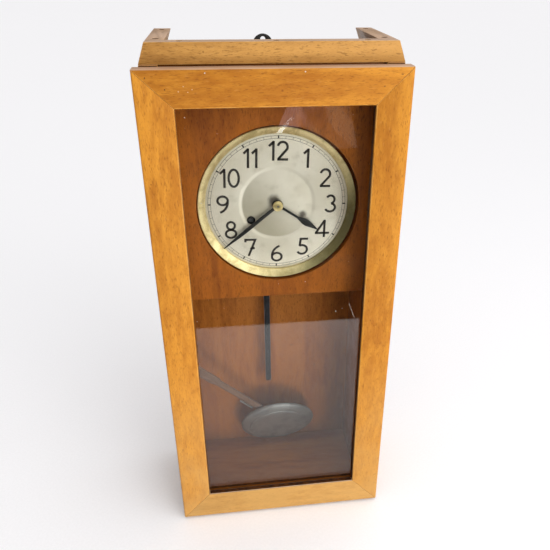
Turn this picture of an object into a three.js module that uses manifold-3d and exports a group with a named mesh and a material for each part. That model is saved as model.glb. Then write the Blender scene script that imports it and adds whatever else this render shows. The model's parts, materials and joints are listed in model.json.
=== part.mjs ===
// A spring-driven oak wall clock with a glazed door, as separate pieces with working joints.
// Millimetres, +Z up. X runs to the right and +Y to the back, away from somebody reading the dial.
// The origin is under the middle of the case, on the surface that the case stands on.

import * as THREE from "three";
import { mergeVertices } from "three/addons/utils/BufferGeometryUtils.js";
import Module from "manifold-3d";

// ---- Driving dimensions ------------------------------------------------------------------

const GAP = 0.3; // clearance between neighbouring pieces
const SEAM = 0.12; // half of the open line at a mitre

// Case
const DEPTH = 156; // door front to case back
const CASE_WIDTH = 287;
const CASE_TOP = 681; // top of the cornice strips
const BOARD = 20; // side boards and floor
const BACK_BOARD = 8;
const BACK_RABBET = 10; // how far the back board runs into each side
const BACK_BOARD_TOP = 650;
const CORNICE_HEIGHT = 22.3;
const CORNICE_THICKNESS = 18.5;
const CORNICE_SPLAY = 8; // how far the cornice leans in on each side
const CORNICE_HOLE_RADIUS = 3.6;
const CORNICE_HOLE_DEPTH = 12;
const CORNICE_FRONT_HOLES = [-100, 2, 102]; // x of the dowel holes in the front strip
const CORNICE_SIDE_HOLES = [-29, 65]; // y of the dowel holes in each side strip
const HEAD_RAIL_HEIGHT = 34;
const HEAD_RAIL_SETBACK = 6; // leaves a dark line between the door and the cornice

// Door
const DOOR_WIDTH = 300;
const DOOR_HEIGHT = 654;
const DOOR_THICKNESS = 19;
const DOOR_BOTTOM = 3;
const STILE_WIDTH = 41;
const TOP_RAIL_WIDTH = 40.3;
const BOTTOM_RAIL_WIDTH = 45;
const DOOR_EDGE_RADIUS = 3.2;
const REBATE = 6; // glass and beads sit in this step
const GLASS_SETBACK = 8.5;
const GLASS_THICKNESS = 2.5;
const BEAD_WIDTH = 4.6;
const BEAD_CHAMFER = 2;
const INNER_EDGE_EASE = 1; // chamfer along the front of the glazed opening

// Hinges, on the left
const HINGE_HEIGHT = 50;
const HINGE_LEVELS = [110, 550];
const HINGE_PIN_RADIUS = 1.1;
const KNUCKLE_RADIUS = 2.2;
const HINGE_X = -147;
const HINGE_Y = -56.1;
const KNUCKLE_CLEARANCE = 0.25; // knuckle bore over the pin
const LEAF_THICKNESS = 1.6;
const LEAF_WIDTH = 14;
const DOOR_LEAF_THICKNESS = 1;
const DOOR_LEAF_SPINE = 0.35; // the strip that joins the door leaf's two knuckles
const LEAF_SHIM = 0.1; // door back to door leaf
const CUTTER = 4; // reach of a cutting block past the knuckles

// Dial and the board that frames it
const DIAL_X = 4.9;
const DIAL_Z = 480;
const DIAL_BOARD_FRONT = -19;
const DIAL_BOARD_THICKNESS = 12;
const DIAL_BOARD_BOTTOM = 351.8;
const DIAL_BOARD_TOP = 643;
const DIAL_HOLE_RADIUS = 103.8;
const DIAL_HOLE_X = 6.1;
const CLEAT = 14;
const BEZEL_OUTER_RADIUS = 101.4;
const BEZEL_INNER_RADIUS = 91.6;
const BEZEL_FRONT = -16;
const BEZEL_METAL = 0.9;
const DIAL_FRONT = -8;
const DIAL_THICKNESS = 1;
const DIAL_RADIUS = 98;
const DIAL_ARBOR_HOLE = 4.2;
const DIAL_FEET = [[46, 430], [46, 541], [-61, 541]]; // x and z of the feet behind the dial
const DIAL_FOOT_RADIUS = 2;
const GROMMET_RADIUS = 5.5;
const GROMMET_BORE = 3.6;

// Hands: lengths from the arbor, and where they point, in degrees clockwise from 12
const MINUTE_LENGTH = 91.5;
const MINUTE_ANGLE = 231.5;
const MINUTE_Y = [-14.3, -13.2];
const HOUR_LENGTH = 64;
const HOUR_ANGLE = 124.5;
const HOUR_Y = [-12.4, -11.4];

// Movement, between two brass plates
const SHAKE = 0.2; // clearance between the movement's pieces
const PLATE_LEFT = -66;
const PLATE_RIGHT = 50;
const PLATE_BOTTOM = 419;
const PLATE_TOP = 547;
const FRONT_PLATE = [6, 8];
const BACK_PLATE = [34, 36];
const PIVOT_BORE = 1.2;
const WINDING_BORE = 3;
const PILLAR_RADIUS = 3.5;
const PILLAR_INSET = 8;
const WINDING = [-29.4, 459.5]; // x and z of the winding arbor
const VERGE = [-8, 531]; // x and z of the verge arbor and of the suspension spring's bend
const ESCAPE = [-8, 508.4];

// Train: teeth and module of each meshing pair
const GREAT = { wheel: 72, pinion: 12 };
const CENTRE = { wheel: 72, pinion: 8, module: 0.6 };
const THIRD = { wheel: 70, pinion: 7, module: 0.55 };
const ESCAPE_TEETH = 30;
const ESCAPE_RADIUS = 15.6;
const CANNON = { wheel: 36, pinion: 12, module: 0.625 };
const HOUR_PAIR = { wheel: 40, pinion: 10, module: 0.6 };
const MINUTE_WHEEL_BEARING = 62; // direction of the minute wheel from the centre arbor, degrees
const RATCHET_TEETH = 24;
const RATCHET_RADIUS = 11;

// Where each wheel lies, front to back
const BARREL_Y = [11, 23];
const GREAT_WHEEL_Y = [22.5, 25];
const CENTRE_WHEEL_Y = [28, 29.5];
const THIRD_WHEEL_Y = [12, 13.5];
const ESCAPE_WHEEL_Y = [18.5, 20];
const CANNON_Y = [2.2, 4.2];
const HOUR_WHEEL_Y = [-2, 0];

// Pendulum leader, hanging behind the movement
const LEADER_WIDTH = 8.6;
const LEADER_Y = [46, 48];
const LEADER_TOP = 517;
const LEADER_BOTTOM = 158;
const SPRING_WIDTH = 6;
const SPRING_THICKNESS = 0.4;
const HOOK_STUD_Z = 322;

// Pendulum, unhooked and stood in the bottom of the case
const BOB_CENTRE = [5, 38.6, 76.2];
const BOB_LEAN = 23.6; // degrees that the bob's face leans forward
const BOB_YAW = 2.6; // degrees that the face is turned to the right
const ROD_TILT = 34.2; // degrees that the rod leans left, in the bob's own plane
const BOB_RADIUS = 60;
const BOB_RIM_THICKNESS = 4;
const BOB_DISC_RADIUS = 46.5;
const BOB_DISC_HEIGHT = 5.6;
const ROD_WIDTH = 11;
const ROD_THICKNESS = 2.4;
const ROD_SETBACK = 7.3; // bob's rim plane to the rod's front
const ROD_END_RADIUS = 8;
const ROD_REACH = 219.6; // bob centre to the centre of the rod's round end

// Hanger
const HANGER_X = -3.7;
const HANGER_RADIUS = 12.5;
const HANGER_Z = 663; // centre of the plate's round end
const HANGER_FOOT = 560;
const KEYHOLE_EYE_RADIUS = 5.4;
const KEYHOLE_EYE_Z = 656;
const KEYHOLE_SLOT_RADIUS = 3.2;
const KEYHOLE_SLOT_Z = 669.2;
const HANGER_THICKNESS = 2.4;
const HANGER_SCREW_LEVELS = [575, 625];
const HANGER_SCREW_RADIUS = 2.4;

// ---- Places that follow from the driving dimensions ---------------------------------------

const DOOR_FRONT = -DEPTH / 2;
const DOOR_BACK = DOOR_FRONT + DOOR_THICKNESS;
const CASE_FRONT = DOOR_BACK + GAP;
const CASE_BACK = DEPTH / 2;
const BACK_FRONT = CASE_BACK - BACK_BOARD;
const SIDE_OUTER = CASE_WIDTH / 2;
const SIDE_INNER = SIDE_OUTER - BOARD;
const SIDE_TOP = CASE_TOP - CORNICE_HEIGHT;
const CLOCKWISE = -Math.PI / 180; // clockwise degrees to shape radians

// ---- Materials ------------------------------------------------------------------------------

const finish = (color, roughness, metalness) => () =>
  new THREE.MeshStandardMaterial({ color, roughness, metalness });
const OAK = finish(0xc88e3c, 0.5, 0);
const DARK_OAK = finish(0x8c551e, 0.55, 0);
const BRASS = finish(0xc9a94f, 0.35, 1);
const OLD_BRASS = finish(0xa8924c, 0.45, 1);
const STEEL = finish(0x8d8f92, 0.4, 1);
const BLUED_STEEL = finish(0x252a33, 0.4, 0.8);
const BLACK = finish(0x1c1b1a, 0.5, 0.2);
const SILVERED = finish(0xcfcbb8, 0.4, 0.3);
const ZINC = finish(0x6e706c, 0.5, 0.6);
const GLASS = () =>
  new THREE.MeshStandardMaterial({
    color: 0xdfe6e4,
    roughness: 0.05,
    metalness: 0,
    transparent: true,
    opacity: 0.25,
  });

// ---- Geometry helpers -------------------------------------------------------------------------

const wasm = await Module();
wasm.setup();

const clock = new THREE.Group();

function signedVolume(geometry) {
  const source = geometry.index ? geometry.toNonIndexed() : geometry;
  const at = source.getAttribute("position");
  const [a, b, c] = [0, 1, 2].map(() => new THREE.Vector3());
  let sum = 0;
  for (let i = 0; i < at.count; i += 3) {
    a.fromBufferAttribute(at, i);
    b.fromBufferAttribute(at, i + 1);
    c.fromBufferAttribute(at, i + 2);
    sum += a.dot(b.cross(c));
  }
  return sum / 6;
}

// The closed surface with shared corners, and its faces turned to point out.
function closed(geometry) {
  const bare = geometry.clone();
  bare.deleteAttribute("normal");
  bare.deleteAttribute("uv");
  const merged = mergeVertices(bare, 1e-4);
  const index = Array.from(merged.index.array);
  if (signedVolume(merged) < 0) {
    for (let i = 0; i < index.length; i += 3) {
      [index[i + 1], index[i + 2]] = [index[i + 2], index[i + 1]];
    }
  }
  merged.setIndex(index);
  merged.computeVertexNormals();
  return merged;
}

function solid(geometry) {
  const body = closed(geometry);
  return new wasm.Manifold(
    new wasm.Mesh({
      numProp: 3,
      vertProperties: new Float32Array(body.getAttribute("position").array),
      triVerts: new Uint32Array(body.index.array),
    }),
  );
}

function surface(manifold) {
  const mesh = manifold.getMesh();
  const geometry = new THREE.BufferGeometry();
  geometry.setAttribute("position", new THREE.BufferAttribute(mesh.vertProperties, 3));
  geometry.setIndex(new THREE.BufferAttribute(mesh.triVerts, 1));
  return geometry;
}

const joined = (...parts) => surface(parts.map(solid).reduce((a, b) => a.add(b)));
const cut = (body, ...tools) =>
  surface(tools.map(solid).reduce((a, b) => a.subtract(b), solid(body)));

function add(name, material, geometry, parent = clock) {
  const mesh = new THREE.Mesh(closed(geometry), material());
  mesh.name = name;
  parent.add(mesh);
  return mesh;
}

// A block between two corners.
function block([x0, y0, z0], [x1, y1, z1]) {
  const box = new THREE.BoxGeometry(x1 - x0, y1 - y0, z1 - z0);
  return box.translate((x0 + x1) / 2, (y0 + y1) / 2, (z0 + z1) / 2);
}

const polygon = (points) => new THREE.Shape(points.map(([a, b]) => new THREE.Vector2(a, b)));

// An outline in X and Y, raised along Z.
function upright(shape, [z0, z1], curveSegments = 8) {
  const options = { depth: z1 - z0, bevelEnabled: false, curveSegments };
  return new THREE.ExtrudeGeometry(shape, options).translate(0, 0, z0);
}

// An outline in X and Z, given thickness along Y.
function plate(shape, [y0, y1], curveSegments = 12) {
  const options = { depth: y1 - y0, bevelEnabled: false, curveSegments };
  return new THREE.ExtrudeGeometry(shape, options).rotateX(Math.PI / 2).translate(0, y1, 0);
}

// A turned piece on an axis along Y. Its profile is a list of [radius, y].
function turned(profile, [x, z], segments = 24) {
  const points = profile.map(([r, y]) => new THREE.Vector2(r, y));
  return new THREE.LatheGeometry(points, segments).translate(x, 0, z);
}

const rod = (radius, [y0, y1], centre, segments = 16) =>
  turned([[0, y0], [radius, y0], [radius, y1], [0, y1]], centre, segments);

function hole(shape, radius, [x, z] = [0, 0]) {
  const path = new THREE.Path();
  path.absarc(x, z, radius, 0, Math.PI * 2, true);
  shape.holes.push(path);
}

const polar = (radius, angle) => [radius * Math.cos(angle), radius * Math.sin(angle)];

// Straight-flanked teeth, thin enough to run free. One tooth is centred on the angle "phase".
const TOOTH = { addendum: 0.75, dedendum: 1.15, tip: 0.17, root: 0.5 };
function gear(teeth, module, phase, bore) {
  const pitch = (2 * Math.PI) / teeth;
  const tip = (module * teeth) / 2 + TOOTH.addendum * module;
  const root = (module * teeth) / 2 - TOOTH.dedendum * module;
  const points = [];
  for (let i = 0; i < teeth; i++) {
    const middle = phase + i * pitch;
    points.push(polar(root, middle - (TOOTH.root * pitch) / 2));
    points.push(polar(tip, middle - (TOOTH.tip * pitch) / 2));
    points.push(polar(tip, middle + (TOOTH.tip * pitch) / 2));
    points.push(polar(root, middle + (TOOTH.root * pitch) / 2));
  }
  const shape = polygon(points);
  if (bore) hole(shape, bore);
  return shape;
}

const bearing = ([x0, z0], [x1, z1]) => Math.atan2(z1 - z0, x1 - x0);
const apart = ([x0, z0], [x1, z1]) => Math.hypot(x1 - x0, z1 - z0);

// Phase that puts a gap of the driven gear on the line of centres, facing a tooth of the driver.
const facing = (angle, teeth) => angle + Math.PI + Math.PI / teeth;

// The point at distances ra and rb from a and b, to the right of the way from a to b.
function meeting(a, b, ra, rb) {
  const d = apart(a, b);
  const along = (ra * ra - rb * rb + d * d) / (2 * d);
  const aside = Math.sqrt(ra * ra - along * along);
  const [ux, uz] = [(b[0] - a[0]) / d, (b[1] - a[1]) / d];
  return [a[0] + along * ux + aside * uz, a[1] + along * uz - aside * ux];
}

const CENTRE_ARBOR = [DIAL_X, DIAL_Z];
const THIRD_ARBOR = meeting(
  CENTRE_ARBOR,
  ESCAPE,
  ((CENTRE.wheel + CENTRE.pinion) / 2) * CENTRE.module,
  ((THIRD.wheel + THIRD.pinion) / 2) * THIRD.module,
);
const GREAT_MODULE = (2 * apart(WINDING, CENTRE_ARBOR)) / (GREAT.wheel + GREAT.pinion);
const MINUTE_DISTANCE = ((CANNON.wheel + CANNON.pinion) / 2) * CANNON.module;
const MINUTE_ARBOR = (() => {
  const [dx, dz] = polar(MINUTE_DISTANCE, (MINUTE_WHEEL_BEARING * Math.PI) / 180);
  return [DIAL_X + dx, DIAL_Z + dz];
})();

const placed = (geometry, [x, z]) => geometry.translate(x, 0, z);

// ---- Case ---------------------------------------------------------------------------------------

for (const [side, sign] of [["left", -1], ["right", 1]]) {
  // Side board, with a rabbet down its back inner edge for the back board.
  const section = polygon([
    [SIDE_INNER, CASE_FRONT],
    [SIDE_OUTER, CASE_FRONT],
    [SIDE_OUTER, CASE_BACK],
    [SIDE_INNER + BACK_RABBET, CASE_BACK],
    [SIDE_INNER + BACK_RABBET, BACK_FRONT - GAP],
    [SIDE_INNER, BACK_FRONT - GAP],
  ].map(([x, y]) => [sign * x, y]));
  add(`case_side_${side}`, OAK, upright(section, [0, SIDE_TOP - GAP]));
}

add("case_floor", DARK_OAK, block(
  [-SIDE_INNER + GAP, CASE_FRONT, 0],
  [SIDE_INNER - GAP, BACK_FRONT - GAP, BOARD],
));
add("back_board", DARK_OAK, block(
  [-SIDE_INNER - BACK_RABBET + GAP, BACK_FRONT, 0],
  [SIDE_INNER + BACK_RABBET - GAP, CASE_BACK, BACK_BOARD_TOP],
));
const HEAD_RAIL_FRONT = CASE_FRONT + HEAD_RAIL_SETBACK;
add("head_rail", OAK, block(
  [-SIDE_INNER + GAP, HEAD_RAIL_FRONT, SIDE_TOP - HEAD_RAIL_HEIGHT],
  [SIDE_INNER - GAP, HEAD_RAIL_FRONT + CORNICE_THICKNESS, SIDE_TOP - GAP],
));

// A blind dowel hole, drilled down into a cornice strip.
function dowelHole(x, y) {
  const bit = new THREE.CylinderGeometry(
    CORNICE_HOLE_RADIUS,
    CORNICE_HOLE_RADIUS,
    CORNICE_HOLE_DEPTH * 2,
    16,
  );
  return bit.rotateX(Math.PI / 2).translate(x, y, CASE_TOP);
}

// Cornice strips: the front one has splayed ends, and the side ones a splayed outer face.
const corniceFront = plate(
  polygon([
    [-SIDE_OUTER, SIDE_TOP],
    [SIDE_OUTER, SIDE_TOP],
    [SIDE_OUTER - CORNICE_SPLAY, CASE_TOP],
    [-SIDE_OUTER + CORNICE_SPLAY, CASE_TOP],
  ]),
  [CASE_FRONT, CASE_FRONT + CORNICE_THICKNESS],
);
const frontHoleY = CASE_FRONT + CORNICE_THICKNESS / 2;
const frontHoles = CORNICE_FRONT_HOLES.map((x) => dowelHole(x, frontHoleY));
add("cornice_front", OAK, cut(corniceFront, ...frontHoles));

for (const [side, sign] of [["left", -1], ["right", 1]]) {
  const section = polygon([
    [sign * SIDE_INNER, SIDE_TOP],
    [sign * SIDE_OUTER, SIDE_TOP],
    [sign * (SIDE_OUTER - CORNICE_SPLAY), CASE_TOP],
    [sign * (SIDE_INNER - CORNICE_SPLAY), CASE_TOP],
  ]);
  const strip = plate(section, [CASE_FRONT + CORNICE_THICKNESS + GAP, CASE_BACK]);
  const x = sign * (SIDE_OUTER - CORNICE_SPLAY - BOARD / 2);
  const sideHoles = CORNICE_SIDE_HOLES.map((y) => dowelHole(x, y));
  add(`cornice_${side}`, OAK, cut(strip, ...sideHoles));
}

// Wall hanger: a plate with a keyhole eye, screwed to the back board.
const hangerShape = new THREE.Shape();
hangerShape.moveTo(HANGER_X - HANGER_RADIUS, HANGER_FOOT);
hangerShape.lineTo(HANGER_X + HANGER_RADIUS, HANGER_FOOT);
hangerShape.lineTo(HANGER_X + HANGER_RADIUS, HANGER_Z);
hangerShape.absarc(HANGER_X, HANGER_Z, HANGER_RADIUS, 0, Math.PI, false);
hangerShape.closePath();
const keyhole = new THREE.Path();
const slotCorner = Math.asin(KEYHOLE_SLOT_RADIUS / KEYHOLE_EYE_RADIUS);
keyhole.absarc(HANGER_X, KEYHOLE_SLOT_Z, KEYHOLE_SLOT_RADIUS, 0, Math.PI, false);
keyhole.absarc(
  HANGER_X,
  KEYHOLE_EYE_Z,
  KEYHOLE_EYE_RADIUS,
  Math.PI / 2 + slotCorner,
  Math.PI * 2.5 - slotCorner,
  false,
);
hangerShape.holes.push(keyhole);
HANGER_SCREW_LEVELS.forEach((z) => hole(hangerShape, HANGER_SCREW_RADIUS, [HANGER_X, z]));
const HANGER_Y = [BACK_FRONT - HANGER_THICKNESS, BACK_FRONT];
add("hanger_plate", BLACK, plate(hangerShape, HANGER_Y));

// ---- Door ---------------------------------------------------------------------------------------

// A frame member with mitred ends. Its section is a list of [distance in from the outer edge, y],
// and each mitre runs from the outer corner to the inner corner of the frame.
function mitred(section, length, cutStart, cutEnd) {
  const shape = section.map(([u, y]) => new THREE.Vector2(u, y));
  const faces = THREE.ShapeUtils.triangulateShape(shape, []);
  const n = section.length;
  const points = [];
  for (const [u, y] of section) points.push(u, y, SEAM + cutStart * u);
  for (const [u, y] of section) points.push(u, y, length - SEAM - cutEnd * u);
  const index = [];
  for (const [a, b, c] of faces) {
    index.push(a, c, b);
    index.push(a + n, b + n, c + n);
  }
  for (let i = 0; i < n; i++) {
    const j = (i + 1) % n;
    index.push(i, j, j + n);
    index.push(i, j + n, i + n);
  }
  const geometry = new THREE.BufferGeometry();
  geometry.setAttribute("position", new THREE.Float32BufferAttribute(points, 3));
  geometry.setIndex(index);
  return geometry;
}

// Section of a door member: rounded outer front edge, eased inner front edge, rebate at the back.
function doorSection(width) {
  const points = [];
  const r = DOOR_EDGE_RADIUS;
  for (let i = 0; i <= 4; i++) {
    const a = (i / 4) * (Math.PI / 2);
    points.push([r - r * Math.cos(a), DOOR_FRONT + r - r * Math.sin(a)]);
  }
  points.push([width - INNER_EDGE_EASE, DOOR_FRONT]);
  points.push([width, DOOR_FRONT + INNER_EDGE_EASE]);
  points.push([width, DOOR_FRONT + GLASS_SETBACK - GAP]);
  points.push([width - REBATE, DOOR_FRONT + GLASS_SETBACK - GAP]);
  points.push([width - REBATE, DOOR_BACK]);
  points.push([0, DOOR_BACK]);
  return points;
}

// Turns a member's own axes (inwards, back, along) to lie on one edge of the frame.
function onEdge(geometry, inwards, along, corner) {
  const back = new THREE.Vector3(0, 1, 0);
  const matrix = new THREE.Matrix4().makeBasis(inwards, back, along);
  return geometry.applyMatrix4(matrix.setPosition(corner));
}

const X = new THREE.Vector3(1, 0, 0);
const Z = new THREE.Vector3(0, 0, 1);
const DOOR_LEFT = -DOOR_WIDTH / 2;
const DOOR_RIGHT = DOOR_WIDTH / 2;
const DOOR_TOP = DOOR_BOTTOM + DOOR_HEIGHT;
const lowMitre = BOTTOM_RAIL_WIDTH / STILE_WIDTH;
const highMitre = TOP_RAIL_WIDTH / STILE_WIDTH;

for (const [side, x, inwards] of [
  ["left", DOOR_LEFT, X],
  ["right", DOOR_RIGHT, X.clone().negate()],
]) {
  const stile = mitred(doorSection(STILE_WIDTH), DOOR_HEIGHT, lowMitre, highMitre);
  add(`door_stile_${side}`, OAK, onEdge(stile, inwards, Z, new THREE.Vector3(x, 0, DOOR_BOTTOM)));
}
for (const [place, z, width, inwards] of [
  ["bottom", DOOR_BOTTOM, BOTTOM_RAIL_WIDTH, Z],
  ["top", DOOR_TOP, TOP_RAIL_WIDTH, Z.clone().negate()],
]) {
  const slope = STILE_WIDTH / width;
  const rail = mitred(doorSection(width), DOOR_WIDTH, slope, slope);
  add(`door_rail_${place}`, OAK, onEdge(rail, inwards, X, new THREE.Vector3(DOOR_LEFT, 0, z)));
}

// Glass and the four beads that hold it in the rebate.
const GLASS_BACK = DOOR_FRONT + GLASS_SETBACK + GLASS_THICKNESS;
const pocket = {
  left: DOOR_LEFT + STILE_WIDTH - REBATE + GAP,
  right: DOOR_RIGHT - STILE_WIDTH + REBATE - GAP,
  bottom: DOOR_BOTTOM + BOTTOM_RAIL_WIDTH - REBATE + GAP,
  top: DOOR_TOP - TOP_RAIL_WIDTH + REBATE - GAP,
};
add("door_glass", GLASS, block(
  [pocket.left, DOOR_FRONT + GLASS_SETBACK, pocket.bottom],
  [pocket.right, GLASS_BACK, pocket.top],
));
const beadSection = [
  [0, GLASS_BACK + GAP],
  [BEAD_WIDTH, GLASS_BACK + GAP],
  [BEAD_WIDTH, DOOR_BACK - GAP - BEAD_CHAMFER],
  [BEAD_WIDTH - BEAD_CHAMFER, DOOR_BACK - GAP],
  [0, DOOR_BACK - GAP],
];
const beadHeight = pocket.top - pocket.bottom;
const beadWidth = pocket.right - pocket.left;
for (const [place, length, inwards, along, corner] of [
  ["left", beadHeight, X, Z, [pocket.left, pocket.bottom]],
  ["right", beadHeight, X.clone().negate(), Z, [pocket.right, pocket.bottom]],
  ["bottom", beadWidth, Z, X, [pocket.left, pocket.bottom]],
  ["top", beadWidth, Z.clone().negate(), X, [pocket.left, pocket.top]],
]) {
  const bead = mitred(beadSection, length, 1, 1);
  const [x, z] = corner;
  add(`glass_bead_${place}`, OAK, onEdge(bead, inwards, along, new THREE.Vector3(x, 0, z)));
}

// ---- Hinges -------------------------------------------------------------------------------------

// The case leaf holds the pin and the middle knuckle. The door leaf's two knuckles turn on it.
function hingeLeaf(outline, knuckles) {
  const parts = knuckles.map((range) => {
    const ring = new THREE.Shape();
    ring.absarc(HINGE_X, HINGE_Y, KNUCKLE_RADIUS, 0, Math.PI * 2, false);
    hole(ring, HINGE_PIN_RADIUS + KNUCKLE_CLEARANCE, [HINGE_X, HINGE_Y]);
    return upright(ring, range, 8);
  });
  return joined(outline, ...parts);
}

HINGE_LEVELS.forEach((middle, i) => {
  const z0 = middle - HINGE_HEIGHT / 2;
  const z1 = middle + HINGE_HEIGHT / 2;
  const third = HINGE_HEIGHT / 3;
  const n = i + 1;
  // Case leaf, on the outer face of the side board.
  const outside = -SIDE_OUTER - GAP;
  const caseTab = block([outside - LEAF_THICKNESS, HINGE_Y, z0], [outside, HINGE_Y + LEAF_WIDTH, z1]);
  const clearKnuckles = [[z0 - 1, z0 + third], [z1 - third, z1 + 1]].map(([a, b]) =>
    block(
      [HINGE_X - CUTTER, HINGE_Y - CUTTER, a],
      [HINGE_X + CUTTER, HINGE_Y + KNUCKLE_RADIUS + GAP, b],
    ),
  );
  const pin = new THREE.CylinderGeometry(HINGE_PIN_RADIUS, HINGE_PIN_RADIUS, HINGE_HEIGHT + 2, 12);
  pin.rotateX(Math.PI / 2).translate(HINGE_X, HINGE_Y, middle);
  const middleKnuckle = new THREE.CylinderGeometry(KNUCKLE_RADIUS, KNUCKLE_RADIUS, third, 16);
  middleKnuckle.rotateX(Math.PI / 2).translate(HINGE_X, HINGE_Y, middle);
  const caseLeaf = cut(joined(caseTab, middleKnuckle), ...clearKnuckles);
  add(`hinge_case_leaf_${n}`, OLD_BRASS, joined(caseLeaf, pin));
  // Door leaf, on the back of the overhang.
  const leafFront = DOOR_BACK + LEAF_SHIM;
  const doorTab = block(
    [HINGE_X - KNUCKLE_RADIUS, leafFront, z0],
    [HINGE_X, leafFront + DOOR_LEAF_THICKNESS, z1],
  );
  const middleGap = block(
    [HINGE_X - CUTTER, DOOR_BACK, z0 + third - GAP],
    [HINGE_X + CUTTER, HINGE_Y + CUTTER, z1 - third + GAP],
  );
  const spine = block(
    [HINGE_X - KNUCKLE_RADIUS, leafFront, z0],
    [HINGE_X + 2, leafFront + DOOR_LEAF_SPINE, z1],
  );
  const doorKnuckles = [[z0, z0 + third - GAP], [z1 - third + GAP, z1]];
  const doorLeaf = cut(hingeLeaf(doorTab, doorKnuckles), middleGap);
  add(`hinge_door_leaf_${n}`, OLD_BRASS, joined(doorLeaf, spine));
});

// ---- Door catch: a stud on the door pushes between two spring arms on the case ------------------

const CATCH_Z = 335;
const CLIP_WIDTH = 6;
const CATCH_X = SIDE_INNER - GAP - CLIP_WIDTH / 2;
const CLIP_FRONT = DOOR_BACK + 4;
const catchStud = [
  [0, DOOR_BACK + GAP],
  [3, DOOR_BACK + GAP],
  [3, DOOR_BACK + 1.5],
  [1.2, DOOR_BACK + 1.5],
  [1.2, DOOR_BACK + 5],
  [2, DOOR_BACK + 6.5],
  [1.2, DOOR_BACK + 8],
  [0, DOOR_BACK + 8.5],
];
add("catch_stud", BRASS, turned(catchStud, [CATCH_X, CATCH_Z], 16));
const catchClip = polygon([
  [-7, -1],
  [-7, 13],
  [7, 13],
  [7, -1],
  [5.8, -1],
  [4.2, 3],
  [4.2, 11.8],
  [-4.2, 11.8],
  [-4.2, 3],
  [-5.8, -1],
]);
const clipBody = new THREE.ExtrudeGeometry(catchClip, { depth: CLIP_WIDTH, bevelEnabled: false });
clipBody.rotateY(Math.PI / 2);
add("catch_clip", BRASS, clipBody.translate(CATCH_X - CLIP_WIDTH / 2, CLIP_FRONT, CATCH_Z));

// ---- Dial board, dial and bezel -----------------------------------------------------------------

const DIAL_BOARD_BACK = DIAL_BOARD_FRONT + DIAL_BOARD_THICKNESS;
const boardHalf = SIDE_INNER - GAP;
const boardShape = polygon([
  [-boardHalf, DIAL_BOARD_BOTTOM],
  [boardHalf, DIAL_BOARD_BOTTOM],
  [boardHalf, DIAL_BOARD_TOP],
  [-boardHalf, DIAL_BOARD_TOP],
]);
hole(boardShape, DIAL_HOLE_RADIUS, [DIAL_HOLE_X, DIAL_Z]);
add("dial_board", DARK_OAK, plate(boardShape, [DIAL_BOARD_FRONT, DIAL_BOARD_BACK], 36));

for (const [side, sign] of [["left", -1], ["right", 1]]) {
  const edges = [sign * (SIDE_INNER - GAP), sign * (SIDE_INNER - CLEAT)].sort((a, b) => a - b);
  add(`dial_board_cleat_${side}`, DARK_OAK, block(
    [edges[0], DIAL_BOARD_BACK + GAP, DIAL_BOARD_BOTTOM + 10],
    [edges[1], DIAL_BOARD_BACK + GAP + CLEAT, DIAL_BOARD_TOP - 10],
  ));
}

// Funnel-shaped bezel, with a lip turned back at its inner edge and a rolled outer edge.
const bezelBack = DIAL_FRONT - 0.2;
const bezelProfile = [
  [BEZEL_INNER_RADIUS, bezelBack],
  [BEZEL_INNER_RADIUS, bezelBack - BEZEL_METAL],
  [BEZEL_OUTER_RADIUS - 1.6, BEZEL_FRONT + 0.3],
  [BEZEL_OUTER_RADIUS - 0.8, BEZEL_FRONT],
  [BEZEL_OUTER_RADIUS, BEZEL_FRONT + 0.5],
  [BEZEL_OUTER_RADIUS, BEZEL_FRONT + 2],
  [BEZEL_OUTER_RADIUS - 1.6, BEZEL_FRONT + 2],
  [BEZEL_INNER_RADIUS + 1.6, bezelBack],
  [BEZEL_INNER_RADIUS, bezelBack],
];
add("bezel", BRASS, turned(bezelProfile, CENTRE_ARBOR, 56));

const dialShape = new THREE.Shape();
dialShape.absarc(DIAL_X, DIAL_Z, DIAL_RADIUS, 0, Math.PI * 2, false);
hole(dialShape, DIAL_ARBOR_HOLE, CENTRE_ARBOR);
hole(dialShape, GROMMET_RADIUS - 1, WINDING);
// Three feet riveted to the dial stand it off the movement's front plate.
const DIAL_FOOT_Y = [DIAL_FRONT + DIAL_THICKNESS / 2, FRONT_PLATE[0] - SHAKE];
const dialFeet = DIAL_FEET.map((centre) => rod(DIAL_FOOT_RADIUS, DIAL_FOOT_Y, centre, 12));
const dialDisc = plate(dialShape, [DIAL_FRONT, DIAL_FRONT + DIAL_THICKNESS], 28);
add("dial_plate", SILVERED, joined(dialDisc, ...dialFeet));

const grommet = [
  [GROMMET_BORE, DIAL_FRONT - 0.9],
  [GROMMET_RADIUS - 0.6, DIAL_FRONT - 0.9],
  [GROMMET_RADIUS, DIAL_FRONT - 0.2],
  [GROMMET_RADIUS - 1.2, DIAL_FRONT - 0.2],
  [GROMMET_RADIUS - 1.2, DIAL_FRONT + DIAL_THICKNESS + 0.6],
  [GROMMET_BORE, DIAL_FRONT + DIAL_THICKNESS + 0.6],
  [GROMMET_BORE, DIAL_FRONT - 0.9],
];
add("winding_grommet", BLACK, turned(grommet, WINDING, 32));

// ---- Movement plates, pillars and brackets ------------------------------------------------------

function movementPlate(range, bores) {
  const shape = polygon([
    [PLATE_LEFT, PLATE_BOTTOM],
    [PLATE_RIGHT, PLATE_BOTTOM],
    [PLATE_RIGHT, PLATE_TOP],
    [PLATE_LEFT, PLATE_TOP],
  ]);
  for (const [radius, centre] of bores) hole(shape, radius, centre);
  return plate(shape, range, 8);
}

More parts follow.
